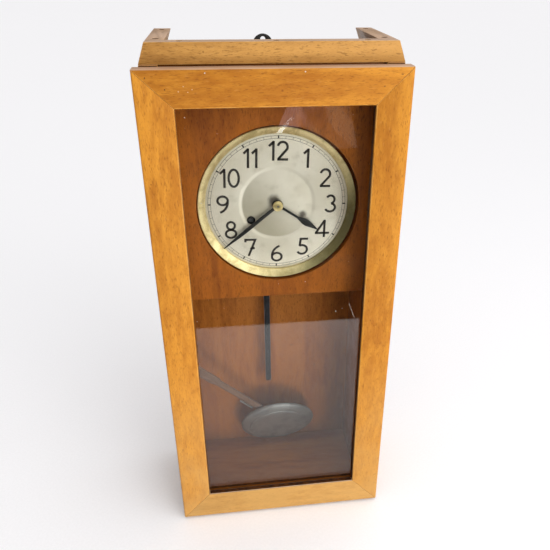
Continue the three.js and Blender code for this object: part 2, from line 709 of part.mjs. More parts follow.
// The front plate carries the post that the minute wheel turns on.
const frontPlate = movementPlate(FRONT_PLATE, [
  [2.8, CENTRE_ARBOR],
  [WINDING_BORE, WINDING],
  [PIVOT_BORE, THIRD_ARBOR],
  [PIVOT_BORE, ESCAPE],
  [PIVOT_BORE, VERGE],
]);
const MINUTE_POST_Y = [HOUR_WHEEL_Y[0] - 1.5, FRONT_PLATE[0] + 0.5];
const MINUTE_POST_RADIUS = 1.05;
const minutePost = rod(MINUTE_POST_RADIUS, MINUTE_POST_Y, MINUTE_ARBOR, 12);
add("movement_front_plate", BRASS, joined(frontPlate, minutePost));

// The back plate has the four pillars riveted to it.
const backPlate = movementPlate(BACK_PLATE, [
  [1.8, CENTRE_ARBOR],
  [WINDING_BORE, WINDING],
  [PIVOT_BORE, THIRD_ARBOR],
  [PIVOT_BORE, ESCAPE],
  [2.2, VERGE],
]);
const pillars = [];
for (const x of [PLATE_LEFT + PILLAR_INSET, PLATE_RIGHT - PILLAR_INSET]) {
  for (const z of [PLATE_BOTTOM + PILLAR_INSET, PLATE_TOP - PILLAR_INSET]) {
    const [front, back] = [FRONT_PLATE[1] + SHAKE, BACK_PLATE[0] + 0.5];
    const pillar = [
      [0, front],
      [PILLAR_RADIUS, front],
      [PILLAR_RADIUS, front + 4],
      [PILLAR_RADIUS - 1, front + 5.5],
      [PILLAR_RADIUS - 1, back - 6],
      [PILLAR_RADIUS, back - 4.5],
      [PILLAR_RADIUS, back],
      [0, back],
    ];
    pillars.push(turned(pillar, [x, z], 12));
  }
}
add("movement_back_plate", BRASS, joined(backPlate, ...pillars));

// Steel brackets that carry the movement off the back board, bent from strip.
const BRACKET_WIDTH = 18;
const BRACKET_STRIP = 2.2;
const BRACKET_INSET = 4;
const BRACKET_WEB = [7.6, 10]; // from the flanges' left edge
const BRACKET_Z = [PLATE_BOTTOM + 14, PLATE_TOP - 14];
const bracketFront = BACK_PLATE[1] + SHAKE;
const bracketBack = BACK_FRONT - SHAKE;
for (const [side, x] of [
  ["left", PLATE_LEFT + BRACKET_INSET],
  ["right", PLATE_RIGHT - BRACKET_INSET - BRACKET_WIDTH],
]) {
  const [webLeft, webRight] = BRACKET_WEB.map((across) => x + across);
  const bend = polygon([
    [x, bracketFront],
    [x + BRACKET_WIDTH, bracketFront],
    [x + BRACKET_WIDTH, bracketFront + BRACKET_STRIP],
    [webRight, bracketFront + BRACKET_STRIP],
    [webRight, bracketBack - BRACKET_STRIP],
    [x + BRACKET_WIDTH, bracketBack - BRACKET_STRIP],
    [x + BRACKET_WIDTH, bracketBack],
    [x, bracketBack],
    [x, bracketBack - BRACKET_STRIP],
    [webLeft, bracketBack - BRACKET_STRIP],
    [webLeft, bracketFront + BRACKET_STRIP],
    [x, bracketFront + BRACKET_STRIP],
  ]);
  add(`movement_bracket_${side}`, STEEL, upright(bend, BRACKET_Z));
}

// ---- Going train --------------------------------------------------------------------------------

// Great wheel on the barrel drum, driving the centre pinion.
const toCentre = bearing(WINDING, CENTRE_ARBOR);
const drumRadius = 26;
const drumWall = 1.4;
const drumBore = 3.4;
const drum = turned([
  [drumBore, BARREL_Y[1] - drumWall],
  [drumRadius - drumWall, BARREL_Y[1] - drumWall],
  [drumRadius - drumWall, BARREL_Y[0]],
  [drumRadius, BARREL_Y[0]],
  [drumRadius, BARREL_Y[1]],
  [drumBore, BARREL_Y[1]],
  [drumBore, BARREL_Y[1] - drumWall],
], WINDING, 36);
const greatWheel = plate(gear(GREAT.wheel, GREAT_MODULE, toCentre, drumBore), GREAT_WHEEL_Y, 8);
add("mainspring_barrel", BRASS, joined(drum, placed(greatWheel, WINDING)));

// Mainspring: a ribbon wound in an even spiral from the arbor to the barrel wall.
const SPRING_TURNS = 5;
const SPRING_INNER = 6.5;
const SPRING_OUTER = drumRadius - 2.4;
const RIBBON = 0.7;
function spiralEdge(offset) {
  const steps = SPRING_TURNS * 16;
  return Array.from({ length: steps + 1 }, (_, i) => {
    const radius = SPRING_INNER + ((SPRING_OUTER - SPRING_INNER) * i) / steps + offset;
    return polar(radius, (i / steps) * SPRING_TURNS * 2 * Math.PI);
  });
}
const ribbon = polygon([...spiralEdge(0), ...spiralEdge(RIBBON).reverse()]);
const ribbonRange = [BARREL_Y[0] + 0.6, BARREL_Y[1] - 1.8];
add("mainspring", BLUED_STEEL, placed(plate(ribbon, ribbonRange), WINDING));

// Winding arbor, with a square end for the key, and its ratchet wheel.
const keySquare = block([-2.1, DIAL_FRONT - 0.5, -2.1], [2.1, FRONT_PLATE[0] - 4.6, 2.1]);
const arborBody = turned([
  [0, FRONT_PLATE[0] - 5],
  [2.7, FRONT_PLATE[0] - 5],
  [2.7, BACK_PLATE[1] + 0.5],
  [0, BACK_PLATE[1] + 0.5],
], [0, 0], 16);
const arborHub = rod(4.6, [BARREL_Y[0] - 0.6, BARREL_Y[1] - 1.8], [0, 0], 16);
add("winding_arbor", STEEL, placed(joined(keySquare, arborBody, arborHub), WINDING));

const ratchetPoints = [];
for (let i = 0; i < RATCHET_TEETH; i++) {
  const start = (i / RATCHET_TEETH) * 2 * Math.PI;
  ratchetPoints.push(polar(RATCHET_RADIUS, start));
  ratchetPoints.push(polar(RATCHET_RADIUS - 1.8, start + 0.03));
}
const ratchetShape = polygon(ratchetPoints);
hole(ratchetShape, 3);
const RATCHET_Y = [FRONT_PLATE[0] - 2.4, FRONT_PLATE[0] - 0.6];
add("ratchet_wheel", STEEL, placed(plate(ratchetShape, RATCHET_Y, 8), WINDING));

// Click: a pawl on a shouldered screw, its nose just clear of the ratchet's tips.
const CLICK_PIVOT = [WINDING[0] - 9, WINDING[1] - 18];
const click = polygon([
  [CLICK_PIVOT[0] - 3.5, CLICK_PIVOT[1] - 3.5],
  [CLICK_PIVOT[0] + 3.5, CLICK_PIVOT[1] - 3.5],
  [CLICK_PIVOT[0] + 6, CLICK_PIVOT[1] + 3],
  [CLICK_PIVOT[0] + 5.4, CLICK_PIVOT[1] + 6.4],
  [CLICK_PIVOT[0] + 2, CLICK_PIVOT[1] + 3.5],
  [CLICK_PIVOT[0] - 3.5, CLICK_PIVOT[1] + 3.5],
]);
hole(click, 1.5, CLICK_PIVOT);
add("click", STEEL, plate(click, RATCHET_Y, 8));
const clickScrew = [
  [0, RATCHET_Y[0] - 1.4],
  [2.6, RATCHET_Y[0] - 1.4],
  [2.6, RATCHET_Y[0] - 0.3],
  [1.25, RATCHET_Y[0] - 0.3],
  [1.25, FRONT_PLATE[0] - 0.2],
  [0, FRONT_PLATE[0] - 0.2],
];
add("click_screw", STEEL, turned(clickScrew, CLICK_PIVOT, 16));

// Centre arbor, from the back plate to the hand nut, with its pinion leaves.
const centrePinion = plate(
  gear(GREAT.pinion, GREAT_MODULE, facing(toCentre, GREAT.pinion), 0),
  [GREAT_WHEEL_Y[0] - 1.5, GREAT_WHEEL_Y[1] + 1.2],
);
const centreShaft = turned([
  [0, MINUTE_Y[0] + 0.3],
  [1.1, MINUTE_Y[0] + 0.3],
  [1.1, FRONT_PLATE[0] - 1.5],
  [2.4, FRONT_PLATE[0] - 1.5],
  [2.4, BACK_PLATE[0] - 0.6],
  [1.4, BACK_PLATE[0] - 0.6],
  [1.4, BACK_PLATE[1] + 1],
  [0, BACK_PLATE[1] + 1],
], [0, 0], 16);
add("centre_arbor", STEEL, placed(joined(centrePinion, centreShaft), CENTRE_ARBOR));
const toThird = bearing(CENTRE_ARBOR, THIRD_ARBOR);
const centreWheel = gear(CENTRE.wheel, CENTRE.module, toThird, 2.6);
add("centre_wheel", BRASS, placed(plate(centreWheel, CENTRE_WHEEL_Y, 8), CENTRE_ARBOR));

// A train arbor: pivots in both plates, a thicker body, and a pinion where its driver lies.
function trainArbor(pinionShape, pinionRange) {
  const shaft = turned([
    [0, FRONT_PLATE[0] + 0.4],
    [0.9, FRONT_PLATE[0] + 0.4],
    [0.9, FRONT_PLATE[1] + 0.5],
    [1.2, FRONT_PLATE[1] + 0.5],
    [1.2, BACK_PLATE[0] - 0.5],
    [0.9, BACK_PLATE[0] - 0.5],
    [0.9, BACK_PLATE[1] - 0.4],
    [0, BACK_PLATE[1] - 0.4],
  ], [0, 0], 12);
  return joined(plate(pinionShape, pinionRange), shaft);
}

const thirdPinion = gear(CENTRE.pinion, CENTRE.module, facing(toThird, CENTRE.pinion), 0);
const thirdPinionRange = [CENTRE_WHEEL_Y[0] - 1.5, CENTRE_WHEEL_Y[1] + 1.5];
add("third_arbor", STEEL, placed(trainArbor(thirdPinion, thirdPinionRange), THIRD_ARBOR));
const toEscape = bearing(THIRD_ARBOR, ESCAPE);
const thirdWheel = gear(THIRD.wheel, THIRD.module, toEscape, 1.4);
add("third_wheel", BRASS, placed(plate(thirdWheel, THIRD_WHEEL_Y, 8), THIRD_ARBOR));

const escapePinion = gear(THIRD.pinion, THIRD.module, facing(toEscape, THIRD.pinion), 0);
const escapePinionRange = [THIRD_WHEEL_Y[0] - 1.5, THIRD_WHEEL_Y[1] + 1.5];
add("escape_arbor", STEEL, placed(trainArbor(escapePinion, escapePinionRange), ESCAPE));
const escapePoints = [];
for (let i = 0; i < ESCAPE_TEETH; i++) {
  const start = (i / ESCAPE_TEETH) * 2 * Math.PI;
  escapePoints.push(polar(ESCAPE_RADIUS - 3, start - 0.06));
  escapePoints.push(polar(ESCAPE_RADIUS, start));
  escapePoints.push(polar(ESCAPE_RADIUS - 3, start + 0.04));
}
const escapeShape = polygon(escapePoints);
hole(escapeShape, 1.4);
add("escape_wheel", BRASS, placed(plate(escapeShape, ESCAPE_WHEEL_Y, 8), ESCAPE));

// Verge: an arbor with an anchor over the escape wheel and a crutch down to the leader.
// The pallets stand clear of the teeth, since a beat by beat release has no constant ratio.
const anchor = polygon([
  [-3, 3],
  [3, 3],
  [16.5, -8.5],
  [15.6, -13],
  [14, -12.6],
  [14.2, -9.5],
  [2.5, -3],
  [-2.5, -3],
  [-14.2, -9.5],
  [-14, -12.6],
  [-15.6, -13],
  [-16.5, -8.5],
]);
const vergeShaft = turned([
  [0, FRONT_PLATE[0] + 0.4],
  [0.9, FRONT_PLATE[0] + 0.4],
  [0.9, FRONT_PLATE[1] + 0.5],
  [1.5, FRONT_PLATE[1] + 0.5],
  [1.5, 41.5],
  [0, 41.5],
], [0, 0], 12);
const CRUTCH_Y = [39.5, 41];
const crutch = plate(polygon([
  [-1.6, 2.3],
  [1.6, 2.3],
  [1.6, -72],
  [-1.6, -72],
]), CRUTCH_Y);
const crutchPin = block([-1.1, CRUTCH_Y[0] + 0.5, -71], [1.1, LEADER_Y[1] + 3, -68.8]);
const vergeBody = joined(plate(anchor, ESCAPE_WHEEL_Y), vergeShaft, crutch, crutchPin);
add("verge_and_crutch", STEEL, placed(vergeBody, VERGE));

// ---- Motion work and hands ----------------------------------------------------------------------

const toMinuteWheel = (MINUTE_WHEEL_BEARING * Math.PI) / 180;
const cannonGear = gear(CANNON.pinion, CANNON.module, toMinuteWheel, 0);
const cannonBody = joined(
  plate(cannonGear, CANNON_Y),
  rod(2, [MINUTE_Y[1] + 0.2, CANNON_Y[0] + 0.5], [0, 0], 16),
);
const cannon = cut(cannonBody, rod(1.3, [MINUTE_Y[0], CANNON_Y[1] + 1], [0, 0], 16));
add("cannon_pinion", STEEL, placed(cannon, CENTRE_ARBOR));

const minuteWheel = gear(
  CANNON.wheel,
  CANNON.module,
  facing(toMinuteWheel, CANNON.wheel),
  0,
);
const minutePinion = gear(HOUR_PAIR.pinion, HOUR_PAIR.module, toMinuteWheel + Math.PI, 0);
const minuteBody = joined(
  plate(minuteWheel, CANNON_Y),
  plate(minutePinion, [HOUR_WHEEL_Y[0] - 0.6, CANNON_Y[0] + 0.5]),
);
const minuteBore = rod(1.3, [HOUR_WHEEL_Y[0] - 2, CANNON_Y[1] + 1], [0, 0], 12);
add("minute_wheel", BRASS, placed(cut(minuteBody, minuteBore), MINUTE_ARBOR));

const hourPhase = toMinuteWheel + Math.PI / HOUR_PAIR.wheel;
const hourGear = gear(HOUR_PAIR.wheel, HOUR_PAIR.module, hourPhase, 0);
const hourBody = joined(
  plate(hourGear, HOUR_WHEEL_Y),
  rod(3.2, [HOUR_Y[1] + 0.2, HOUR_WHEEL_Y[0] + 0.5], [0, 0], 20),
);
const hourBore = rod(2.3, [HOUR_Y[0], HOUR_WHEEL_Y[1] + 1], [0, 0], 20);
add("hour_wheel", BRASS, placed(cut(hourBody, hourBore), CENTRE_ARBOR));

// A hand is drawn pointing at 12, as half widths at distances from the arbor, then turned.
function hand(hub, bore, halfWidths, angle) {
  const right = halfWidths.map(([w, r]) => [w, r]);
  const left = halfWidths.map(([w, r]) => [-w, r]).reverse();
  const blade = polygon([...right, ...left]);
  const disc = new THREE.Shape();
  disc.absarc(0, 0, hub, 0, Math.PI * 2, false);
  return (range) => {
    const body = joined(plate(blade, range), plate(disc, range, 12));
    const open = cut(body, rod(bore, [range[0] - 1, range[1] + 1], [0, 0], 20));
    return open.rotateY(-angle * CLOCKWISE);
  };
}

const minuteHand = hand(6, 1.4, [
  [1.9, 4],
  [2.6, MINUTE_LENGTH * 0.55],
  [2.2, MINUTE_LENGTH * 0.72],
  [0.5, MINUTE_LENGTH],
], MINUTE_ANGLE);
add("minute_hand", BLACK, placed(minuteHand(MINUTE_Y), CENTRE_ARBOR));

const hourHand = hand(7, 2.4, [
  [1.5, 5],
  [1.5, HOUR_LENGTH * 0.5],
  [4.2, HOUR_LENGTH * 0.64],
  [4.6, HOUR_LENGTH * 0.72],
  [1.4, HOUR_LENGTH * 0.93],
  [0.4, HOUR_LENGTH],
], HOUR_ANGLE);
add("hour_hand", BLACK, placed(hourHand(HOUR_Y), CENTRE_ARBOR));

const nutFront = MINUTE_Y[0] - 4.2;
const handNut = [
  [0, nutFront],
  [3.5, nutFront + 0.3],
  [6, nutFront + 1.4],
  [6.6, nutFront + 2.6],
  [6.6, MINUTE_Y[0] - 0.2],
  [0, MINUTE_Y[0] - 0.2],
];
add("hand_nut", BRASS, turned(handNut, CENTRE_ARBOR, 32));

// ---- Pendulum leader and its suspension ---------------------------------------------------------

const leaderMiddle = (LEADER_Y[0] + LEADER_Y[1]) / 2;
const suspensionSpring = block(
  [VERGE[0] - SPRING_WIDTH / 2, leaderMiddle - SPRING_THICKNESS / 2, LEADER_TOP + GAP],
  [VERGE[0] + SPRING_WIDTH / 2, leaderMiddle + SPRING_THICKNESS / 2, VERGE[1] + 2.7],
);
add("suspension_spring", BLUED_STEEL, suspensionSpring);

// Cock: a block on the back plate that the spring's upper end hangs from.
add("suspension_cock", BRASS, block(
  [VERGE[0] - 7, BACK_PLATE[1] + 0.2, VERGE[1] + 3],
  [VERGE[0] + 7, LEADER_Y[1] + 1, VERGE[1] + 11],
));

const leaderShape = polygon([
  [VERGE[0] - LEADER_WIDTH / 2, LEADER_BOTTOM],
  [VERGE[0] + LEADER_WIDTH / 2, LEADER_BOTTOM],
  [VERGE[0] + LEADER_WIDTH / 2, LEADER_TOP],
  [VERGE[0] - LEADER_WIDTH / 2, LEADER_TOP],
]);
const slotHalf = 1.5;
const crutchSlot = new THREE.Path(
  [[-slotHalf, -66], [-slotHalf, -74], [slotHalf, -74], [slotHalf, -66]].map(
    ([x, z]) => new THREE.Vector2(VERGE[0] + x, VERGE[1] + z),
  ),
);
leaderShape.holes.push(crutchSlot);
const hookStud = turned([
  [0, LEADER_Y[0] - 6],
  [3, LEADER_Y[0] - 6],
  [3, LEADER_Y[0] - 4.8],
  [1.6, LEADER_Y[0] - 4.8],
  [1.6, LEADER_Y[0] + 0.5],
  [0, LEADER_Y[0] + 0.5],
], [VERGE[0], HOOK_STUD_Z], 16);
add("pendulum_leader", BLUED_STEEL, joined(plate(leaderShape, LEADER_Y), hookStud));

// ---- Pendulum, stood in the case ----------------------------------------------------------------

// In its own frame the bob faces -Y and its rod points up +Z. It is tilted in its own plane,
// leant forward about X, and turned a little about Z.
const pendulum = new THREE.Group();
pendulum.rotation.set(
  THREE.MathUtils.degToRad(BOB_LEAN),
  THREE.MathUtils.degToRad(-ROD_TILT),
  THREE.MathUtils.degToRad(BOB_YAW),
  "ZXY",
);
pendulum.position.set(...BOB_CENTRE);
clock.add(pendulum);

const bobProfile = [
  [0, -BOB_DISC_HEIGHT - 0.8],
  [BOB_DISC_RADIUS * 0.6, -BOB_DISC_HEIGHT - 0.5],
  [BOB_DISC_RADIUS - 1, -BOB_DISC_HEIGHT],
  [BOB_DISC_RADIUS + 1.5, -BOB_DISC_HEIGHT + 1.4],
  [BOB_RADIUS - 1.5, -0.8],
  [BOB_RADIUS, 0.4],
  [BOB_RADIUS, BOB_RIM_THICKNESS - 1],
  [BOB_RADIUS - 1.5, BOB_RIM_THICKNESS],
  [8, BOB_RIM_THICKNESS],
  [8, ROD_SETBACK - GAP],
  [0, ROD_SETBACK - GAP],
];
add("pendulum_bob", ZINC, turned(bobProfile, [0, 0], 40), pendulum);

const half = ROD_WIDTH / 2;
const rodShape = new THREE.Shape();
const plateStart = ROD_REACH - 46;
rodShape.moveTo(-half, -18);
rodShape.lineTo(half, -18);
rodShape.lineTo(half, plateStart - 6);
rodShape.lineTo(ROD_END_RADIUS, plateStart);
rodShape.lineTo(ROD_END_RADIUS, ROD_REACH);
rodShape.absarc(0, ROD_REACH, ROD_END_RADIUS, 0, Math.PI, false);
rodShape.lineTo(-ROD_END_RADIUS, plateStart);
rodShape.lineTo(-half, plateStart - 6);
rodShape.closePath();
hole(rodShape, 3.4, [0, ROD_REACH]);
const ROD_Y = [ROD_SETBACK, ROD_SETBACK + ROD_THICKNESS];
const threadRadius = 1.5;
const rodMiddle = (ROD_Y[0] + ROD_Y[1]) / 2;
const thread = new THREE.CylinderGeometry(threadRadius, threadRadius, 24, 12);
thread.rotateX(Math.PI / 2).translate(0, rodMiddle, -28);
add("pendulum_rod", DARK_OAK, joined(plate(rodShape, ROD_Y), thread), pendulum);

const nutShape = new THREE.Shape();
nutShape.absarc(0, rodMiddle, 4, 0, Math.PI * 2, false);
hole(nutShape, threadRadius + 0.25, [0, rodMiddle]);
add("rating_nut", BRASS, upright(nutShape, [-34, -29], 10), pendulum);

export default clock;
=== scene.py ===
"""A spring-driven oak wall clock with a glazed door: its looks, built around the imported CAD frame.

Blender works in metres, in the CAD's frame: X to the right, +Y to the back, +Z up. Sizes below
are in millimetres where the name or the comment says so, and MM turns them into metres.
"""

import json
import math
import random

import bmesh
import bpy
from mathutils import Matrix, Vector
from mathutils.geometry import delaunay_2d_cdt


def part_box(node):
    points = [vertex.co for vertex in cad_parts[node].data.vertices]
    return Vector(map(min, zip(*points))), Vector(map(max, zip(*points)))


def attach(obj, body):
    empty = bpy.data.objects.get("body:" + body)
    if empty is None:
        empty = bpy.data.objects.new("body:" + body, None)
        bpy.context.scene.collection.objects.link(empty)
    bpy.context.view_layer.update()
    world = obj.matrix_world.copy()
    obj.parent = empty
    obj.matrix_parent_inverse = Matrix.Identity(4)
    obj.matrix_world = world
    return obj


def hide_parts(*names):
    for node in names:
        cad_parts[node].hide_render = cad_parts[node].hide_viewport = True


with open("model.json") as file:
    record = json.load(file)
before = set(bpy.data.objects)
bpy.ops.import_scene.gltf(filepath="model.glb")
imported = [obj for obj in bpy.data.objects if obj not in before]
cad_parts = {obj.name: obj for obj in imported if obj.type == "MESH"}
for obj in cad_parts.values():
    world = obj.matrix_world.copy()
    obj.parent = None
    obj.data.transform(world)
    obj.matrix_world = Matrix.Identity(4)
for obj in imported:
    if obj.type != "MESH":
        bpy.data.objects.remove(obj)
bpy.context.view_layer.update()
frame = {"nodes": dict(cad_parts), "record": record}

MM = 0.001
CENTRE_RADIUS = 44.8  # mm, the dial's sunk middle
SEED = 11
NODES = frame["nodes"]
BODY_OF = {
    node: body
    for body, nodes in frame["record"]["behaviour"]["bodies"].items()
    for node in nodes
}

# Where the dial is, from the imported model
dial_low, dial_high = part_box("dial_plate")
DIAL = Vector(((dial_low.x + dial_high.x) / 2, dial_low.y, (dial_low.z + dial_high.z) / 2))
DIAL_TURN = math.radians(1.7)  # the printed ring sits a little clockwise of upright

# Pendulum, stood in the case: its bob's centre, and how it is turned
BOB = Vector((5.0, 38.6, 76.2)) * MM
BOB_PLACE = (
    Matrix.Translation(BOB)
    @ Matrix.Rotation(math.radians(2.6), 4, "Z")
    @ Matrix.Rotation(math.radians(23.6), 4, "X")
)
PENDULUM = BOB_PLACE @ Matrix.Rotation(math.radians(-34.2), 4, "Y")


# ---- Camera --------------------------------------------------------------------------------

SENSOR_WIDTH = 36  # mm
LENS = 39.3  # mm
SHIFT_X = -0.0524  # parts of the frame's width
SHIFT_Y = 0.0189
VIEW_REACH = 100  # metres
CAMERA_PLACE = (-0.0616, -0.7331, 0.7577)
CAMERA_YAW = math.radians(-8.0)
CAMERA_PITCH = math.radians(-28.58)
CAMERA_ROLL = math.radians(-0.58)


def make_camera():
    data = bpy.data.cameras.new("camera")
    data.sensor_width = SENSOR_WIDTH
    data.lens = LENS
    data.shift_x = SHIFT_X
    data.shift_y = SHIFT_Y
    data.clip_end = VIEW_REACH
    camera = bpy.data.objects.new("camera", data)
    bpy.context.scene.collection.objects.link(camera)
    camera.matrix_world = (
        Matrix.Translation(CAMERA_PLACE)
        @ Matrix.Rotation(CAMERA_YAW, 4, "Z")
        @ Matrix.Rotation(CAMERA_PITCH, 4, "X")
        @ Matrix.Rotation(CAMERA_ROLL, 4, "Y")
        @ Matrix.Rotation(math.radians(90), 4, "X")
    )
    bpy.context.scene.camera = camera


# ---- Shader helpers ------------------------------------------------------------------------

def rgb(code):
    """A shader colour from a six-digit sRGB code."""
    parts = [int(code[i:i + 2], 16) / 255 for i in (0, 2, 4)]
    linear = [p / 12.92 if p <= 0.04045 else ((p + 0.055) / 1.055) ** 2.4 for p in parts]
    return (*linear, 1)


def shader(name):
    """A new material, with its node tree and its Principled shader."""
    made = bpy.data.materials.new(name)
    made.use_nodes = True
    return made, made.node_tree, made.node_tree.nodes["Principled BSDF"]


def put(tree, kind, inputs=None, **settings):
    """A new node with its settings made, and its inputs set or linked."""
    made = tree.nodes.new("ShaderNode" + kind)
    for key, value in settings.items():
        setattr(made, key, value)
    for key, value in (inputs or {}).items():
        connect(tree, made.inputs[key], value)
    return made


def connect(tree, socket, value):
    if isinstance(value, bpy.types.NodeSocket):
        tree.links.new(value, socket)
    else:
        socket.default_value = value


def place(tree, stretch=(1, 1, 1), shift=(0, 0, 0)):
    """Object coordinates, stretched and shifted."""
    source = put(tree, "TexCoord").outputs["Object"]
    return put(tree, "Mapping", {"Vector": source, "Scale": stretch, "Location": shift}).outputs[0]


def noise(tree, vector, scale, detail=2.0, roughness=0.5, distortion=0.0):
    values = {
        "Vector": vector,
        "Scale": scale,
        "Detail": detail,
        "Roughness": roughness,
        "Distortion": distortion,
    }
    return put(tree, "TexNoise", values).outputs["Fac"]


def rise(tree, value, low, high, start=0.0, end=1.0):
    """start where value is under low, end where it is over high, and smooth between."""
    values = {"Value": value, "From Min": low, "From Max": high, "To Min": start, "To Max": end}
    return put(tree, "MapRange", values, interpolation_type="SMOOTHSTEP").outputs["Result"]


def maths(tree, operation, a, b=0.0):
    return put(tree, "Math", {0: a, 1: b}, operation=operation).outputs[0]


def mixed(tree, factor, a, b, mode="MIX"):
    node = put(tree, "Mix", {0: factor, 6: a, 7: b}, data_type="RGBA", blend_type=mode)
    return node.outputs[2]


def bump(tree, height, distance, strength=1.0):
    values = {"Height": height, "Distance": distance, "Strength": strength}
    return put(tree, "Bump", values).outputs["Normal"]


# ---- Materials -----------------------------------------------------------------------------

BAND_STRETCH = 0.05  # how slowly the wood's bands change along its grain
DASH_STRETCH = 0.22  # the same for the short dark pores and light flecks
WOODS = {
    # light wood, dark wood, pores, worn edge
    "oak": ("bd7f28", "985c17", "69390f", "cd9a55"),
    "dusty_oak": ("b68645", "936630", "614019", "c8a26e"),
    "dark_oak": ("985413", "7a3e0d", "431f08", "9c6228"),
    "back_oak": ("9c5d22", "794016", "331703", "a9703c"),
    "rod_wood": ("6d503f", "4d372a", "2a1c15", "8a6a55"),
}
PALE_LOW_WOOD = "b48c50"  # the paler colour that the case takes in patches, low down
FADED = "c3a58d"  # bare and dusty wood on faces that look up
SATIN = 0.18  # how much the old varnish mirrors
made_woods = {}


def weathered(tree, colour, blotches):
    """Wood paler in patches low on the case, and dusty on faces that look up."""
    place_in = put(tree, "TexCoord").outputs["Object"]
    height = put(tree, "SeparateXYZ", {0: place_in}).outputs[2]
    patchy = rise(tree, blotches, 0.25, 0.6, 0.25, 0.6)
    paler_low = maths(tree, "MULTIPLY", rise(tree, height, 0.32, 0.02), patchy)
    colour = mixed(tree, paler_low, colour, rgb(PALE_LOW_WOOD))
    normal = put(tree, "NewGeometry").outputs["Normal"]
    up = put(tree, "SeparateXYZ", {0: normal}).outputs[2]
    settled = rise(tree, blotches, 0.2, 0.6, 0.45, 0.85)
    dust = maths(tree, "MULTIPLY", rise(tree, up, 0.6, 0.95), settled)
    return mixed(tree, dust, colour, rgb(FADED))


def wood(tone, grain, worn=False):
    """Varnished wood with its grain along an axis: bands, streaks, pores, flecks and dents."""
    key = (tone, grain, worn)
    if key in made_woods:
        return made_woods[key]
    light, dark, pore, edge = (rgb(code) for code in WOODS[tone])
    made, tree, bsdf = shader(f"{tone}_{grain}" + ("_worn" if worn else ""))
    shift = (0.31 * len(made_woods), 0.17, 0.23 * len(made_woods))
    axis = "XYZ".index(grain)
    long, short = [1.0, 1.0, 1.0], [1.0, 1.0, 1.0]
    long[axis] = BAND_STRETCH
    short[axis] = DASH_STRETCH
    along = place(tree, long, shift)
    dashes = place(tree, short, shift)
    even = place(tree, (1, 1, 1), shift)

    bands = noise(tree, along, 24, 3, 0.5, 0.8)
    streaks = noise(tree, dashes, 150, 5, 0.65, 0.3)
    figure = maths(tree, "ADD", bands, maths(tree, "MULTIPLY", streaks, 0.9))
    colour = mixed(tree, rise(tree, figure, 0.68, 1.2), dark, light)
    blotches = noise(tree, even, 14, 4, 0.6)
    colour = mixed(tree, rise(tree, blotches, 0.35, 0.75, 0.0, 0.4), colour, light)
    pale = rise(tree, noise(tree, dashes, 520, 2, 0.5), 0.60, 0.76, 0.0, 0.16)
    colour = mixed(tree, pale, colour, edge)
    apart = place(tree, short, (0.7, 0.4, 0.9))
    coarse = rise(tree, noise(tree, apart, 760, 2, 0.5), 0.57, 0.70, 0, 0.5)
    fine = rise(tree, noise(tree, dashes, 1300, 1, 0.5), 0.60, 0.70, 0, 0.25)
    pores = maths(tree, "MAXIMUM", coarse, fine)
    colour = mixed(tree, pores, colour, pore)
    dents = rise(tree, noise(tree, even, 95, 1, 0.4), 0.78, 0.80, 0, 0.6)
    colour = mixed(tree, dents, colour, pore)
    if worn:
        rubbed = rise(tree, noise(tree, even, 38, 4, 0.7), 0.40, 0.60, 0, 0.45)
        colour = mixed(tree, rubbed, colour, edge)
    if tone in ("oak", "dusty_oak"):
        colour = weathered(tree, colour, blotches)
    tree.links.new(colour, bsdf.inputs["Base Color"])

    polish = noise(tree, even, 30, 3, 0.6)
    gloss = rise(tree, polish, 0.3, 0.7, 0.36, 0.52)
    rough = maths(tree, "ADD", gloss, maths(tree, "MULTIPLY", pores, 0.25))
    tree.links.new(rough, bsdf.inputs["Roughness"])
    bsdf.inputs["Specular IOR Level"].default_value = SATIN
    relief = maths(tree, "SUBTRACT", maths(tree, "MULTIPLY", streaks, 0.35), pores)
    relief = maths(tree, "SUBTRACT", relief, dents)
    tree.links.new(bump(tree, relief, 0.0002, 0.6), bsdf.inputs["Normal"])
    made_woods[key] = made
    return made


def stained(name, code):
    """Near-black stain and old dirt on the wood round the door's opening; the same near-black is painted
    shade in the cornice's holes and in the gap over the door.
    """
    made, tree, bsdf = shader(name)
    even = place(tree)
    cloud = rise(tree, noise(tree, even, 180, 4, 0.6), 0.35, 0.7)
    tree.links.new(mixed(tree, cloud, rgb(code), rgb("5a3413")), bsdf.inputs["Base Color"])
    tree.links.new(rise(tree, cloud, 0, 1, 0.6, 0.8), bsdf.inputs["Roughness"])
    bsdf.inputs["Specular IOR Level"].default_value = SATIN
    return made


# olive brown of the painted shade on one side of a metal
PAINTED_SHADE_OLIVE = "6f6a3e"
SCRATCH_RELIEF = 0.5  # how deep the fine scratches are against the pits


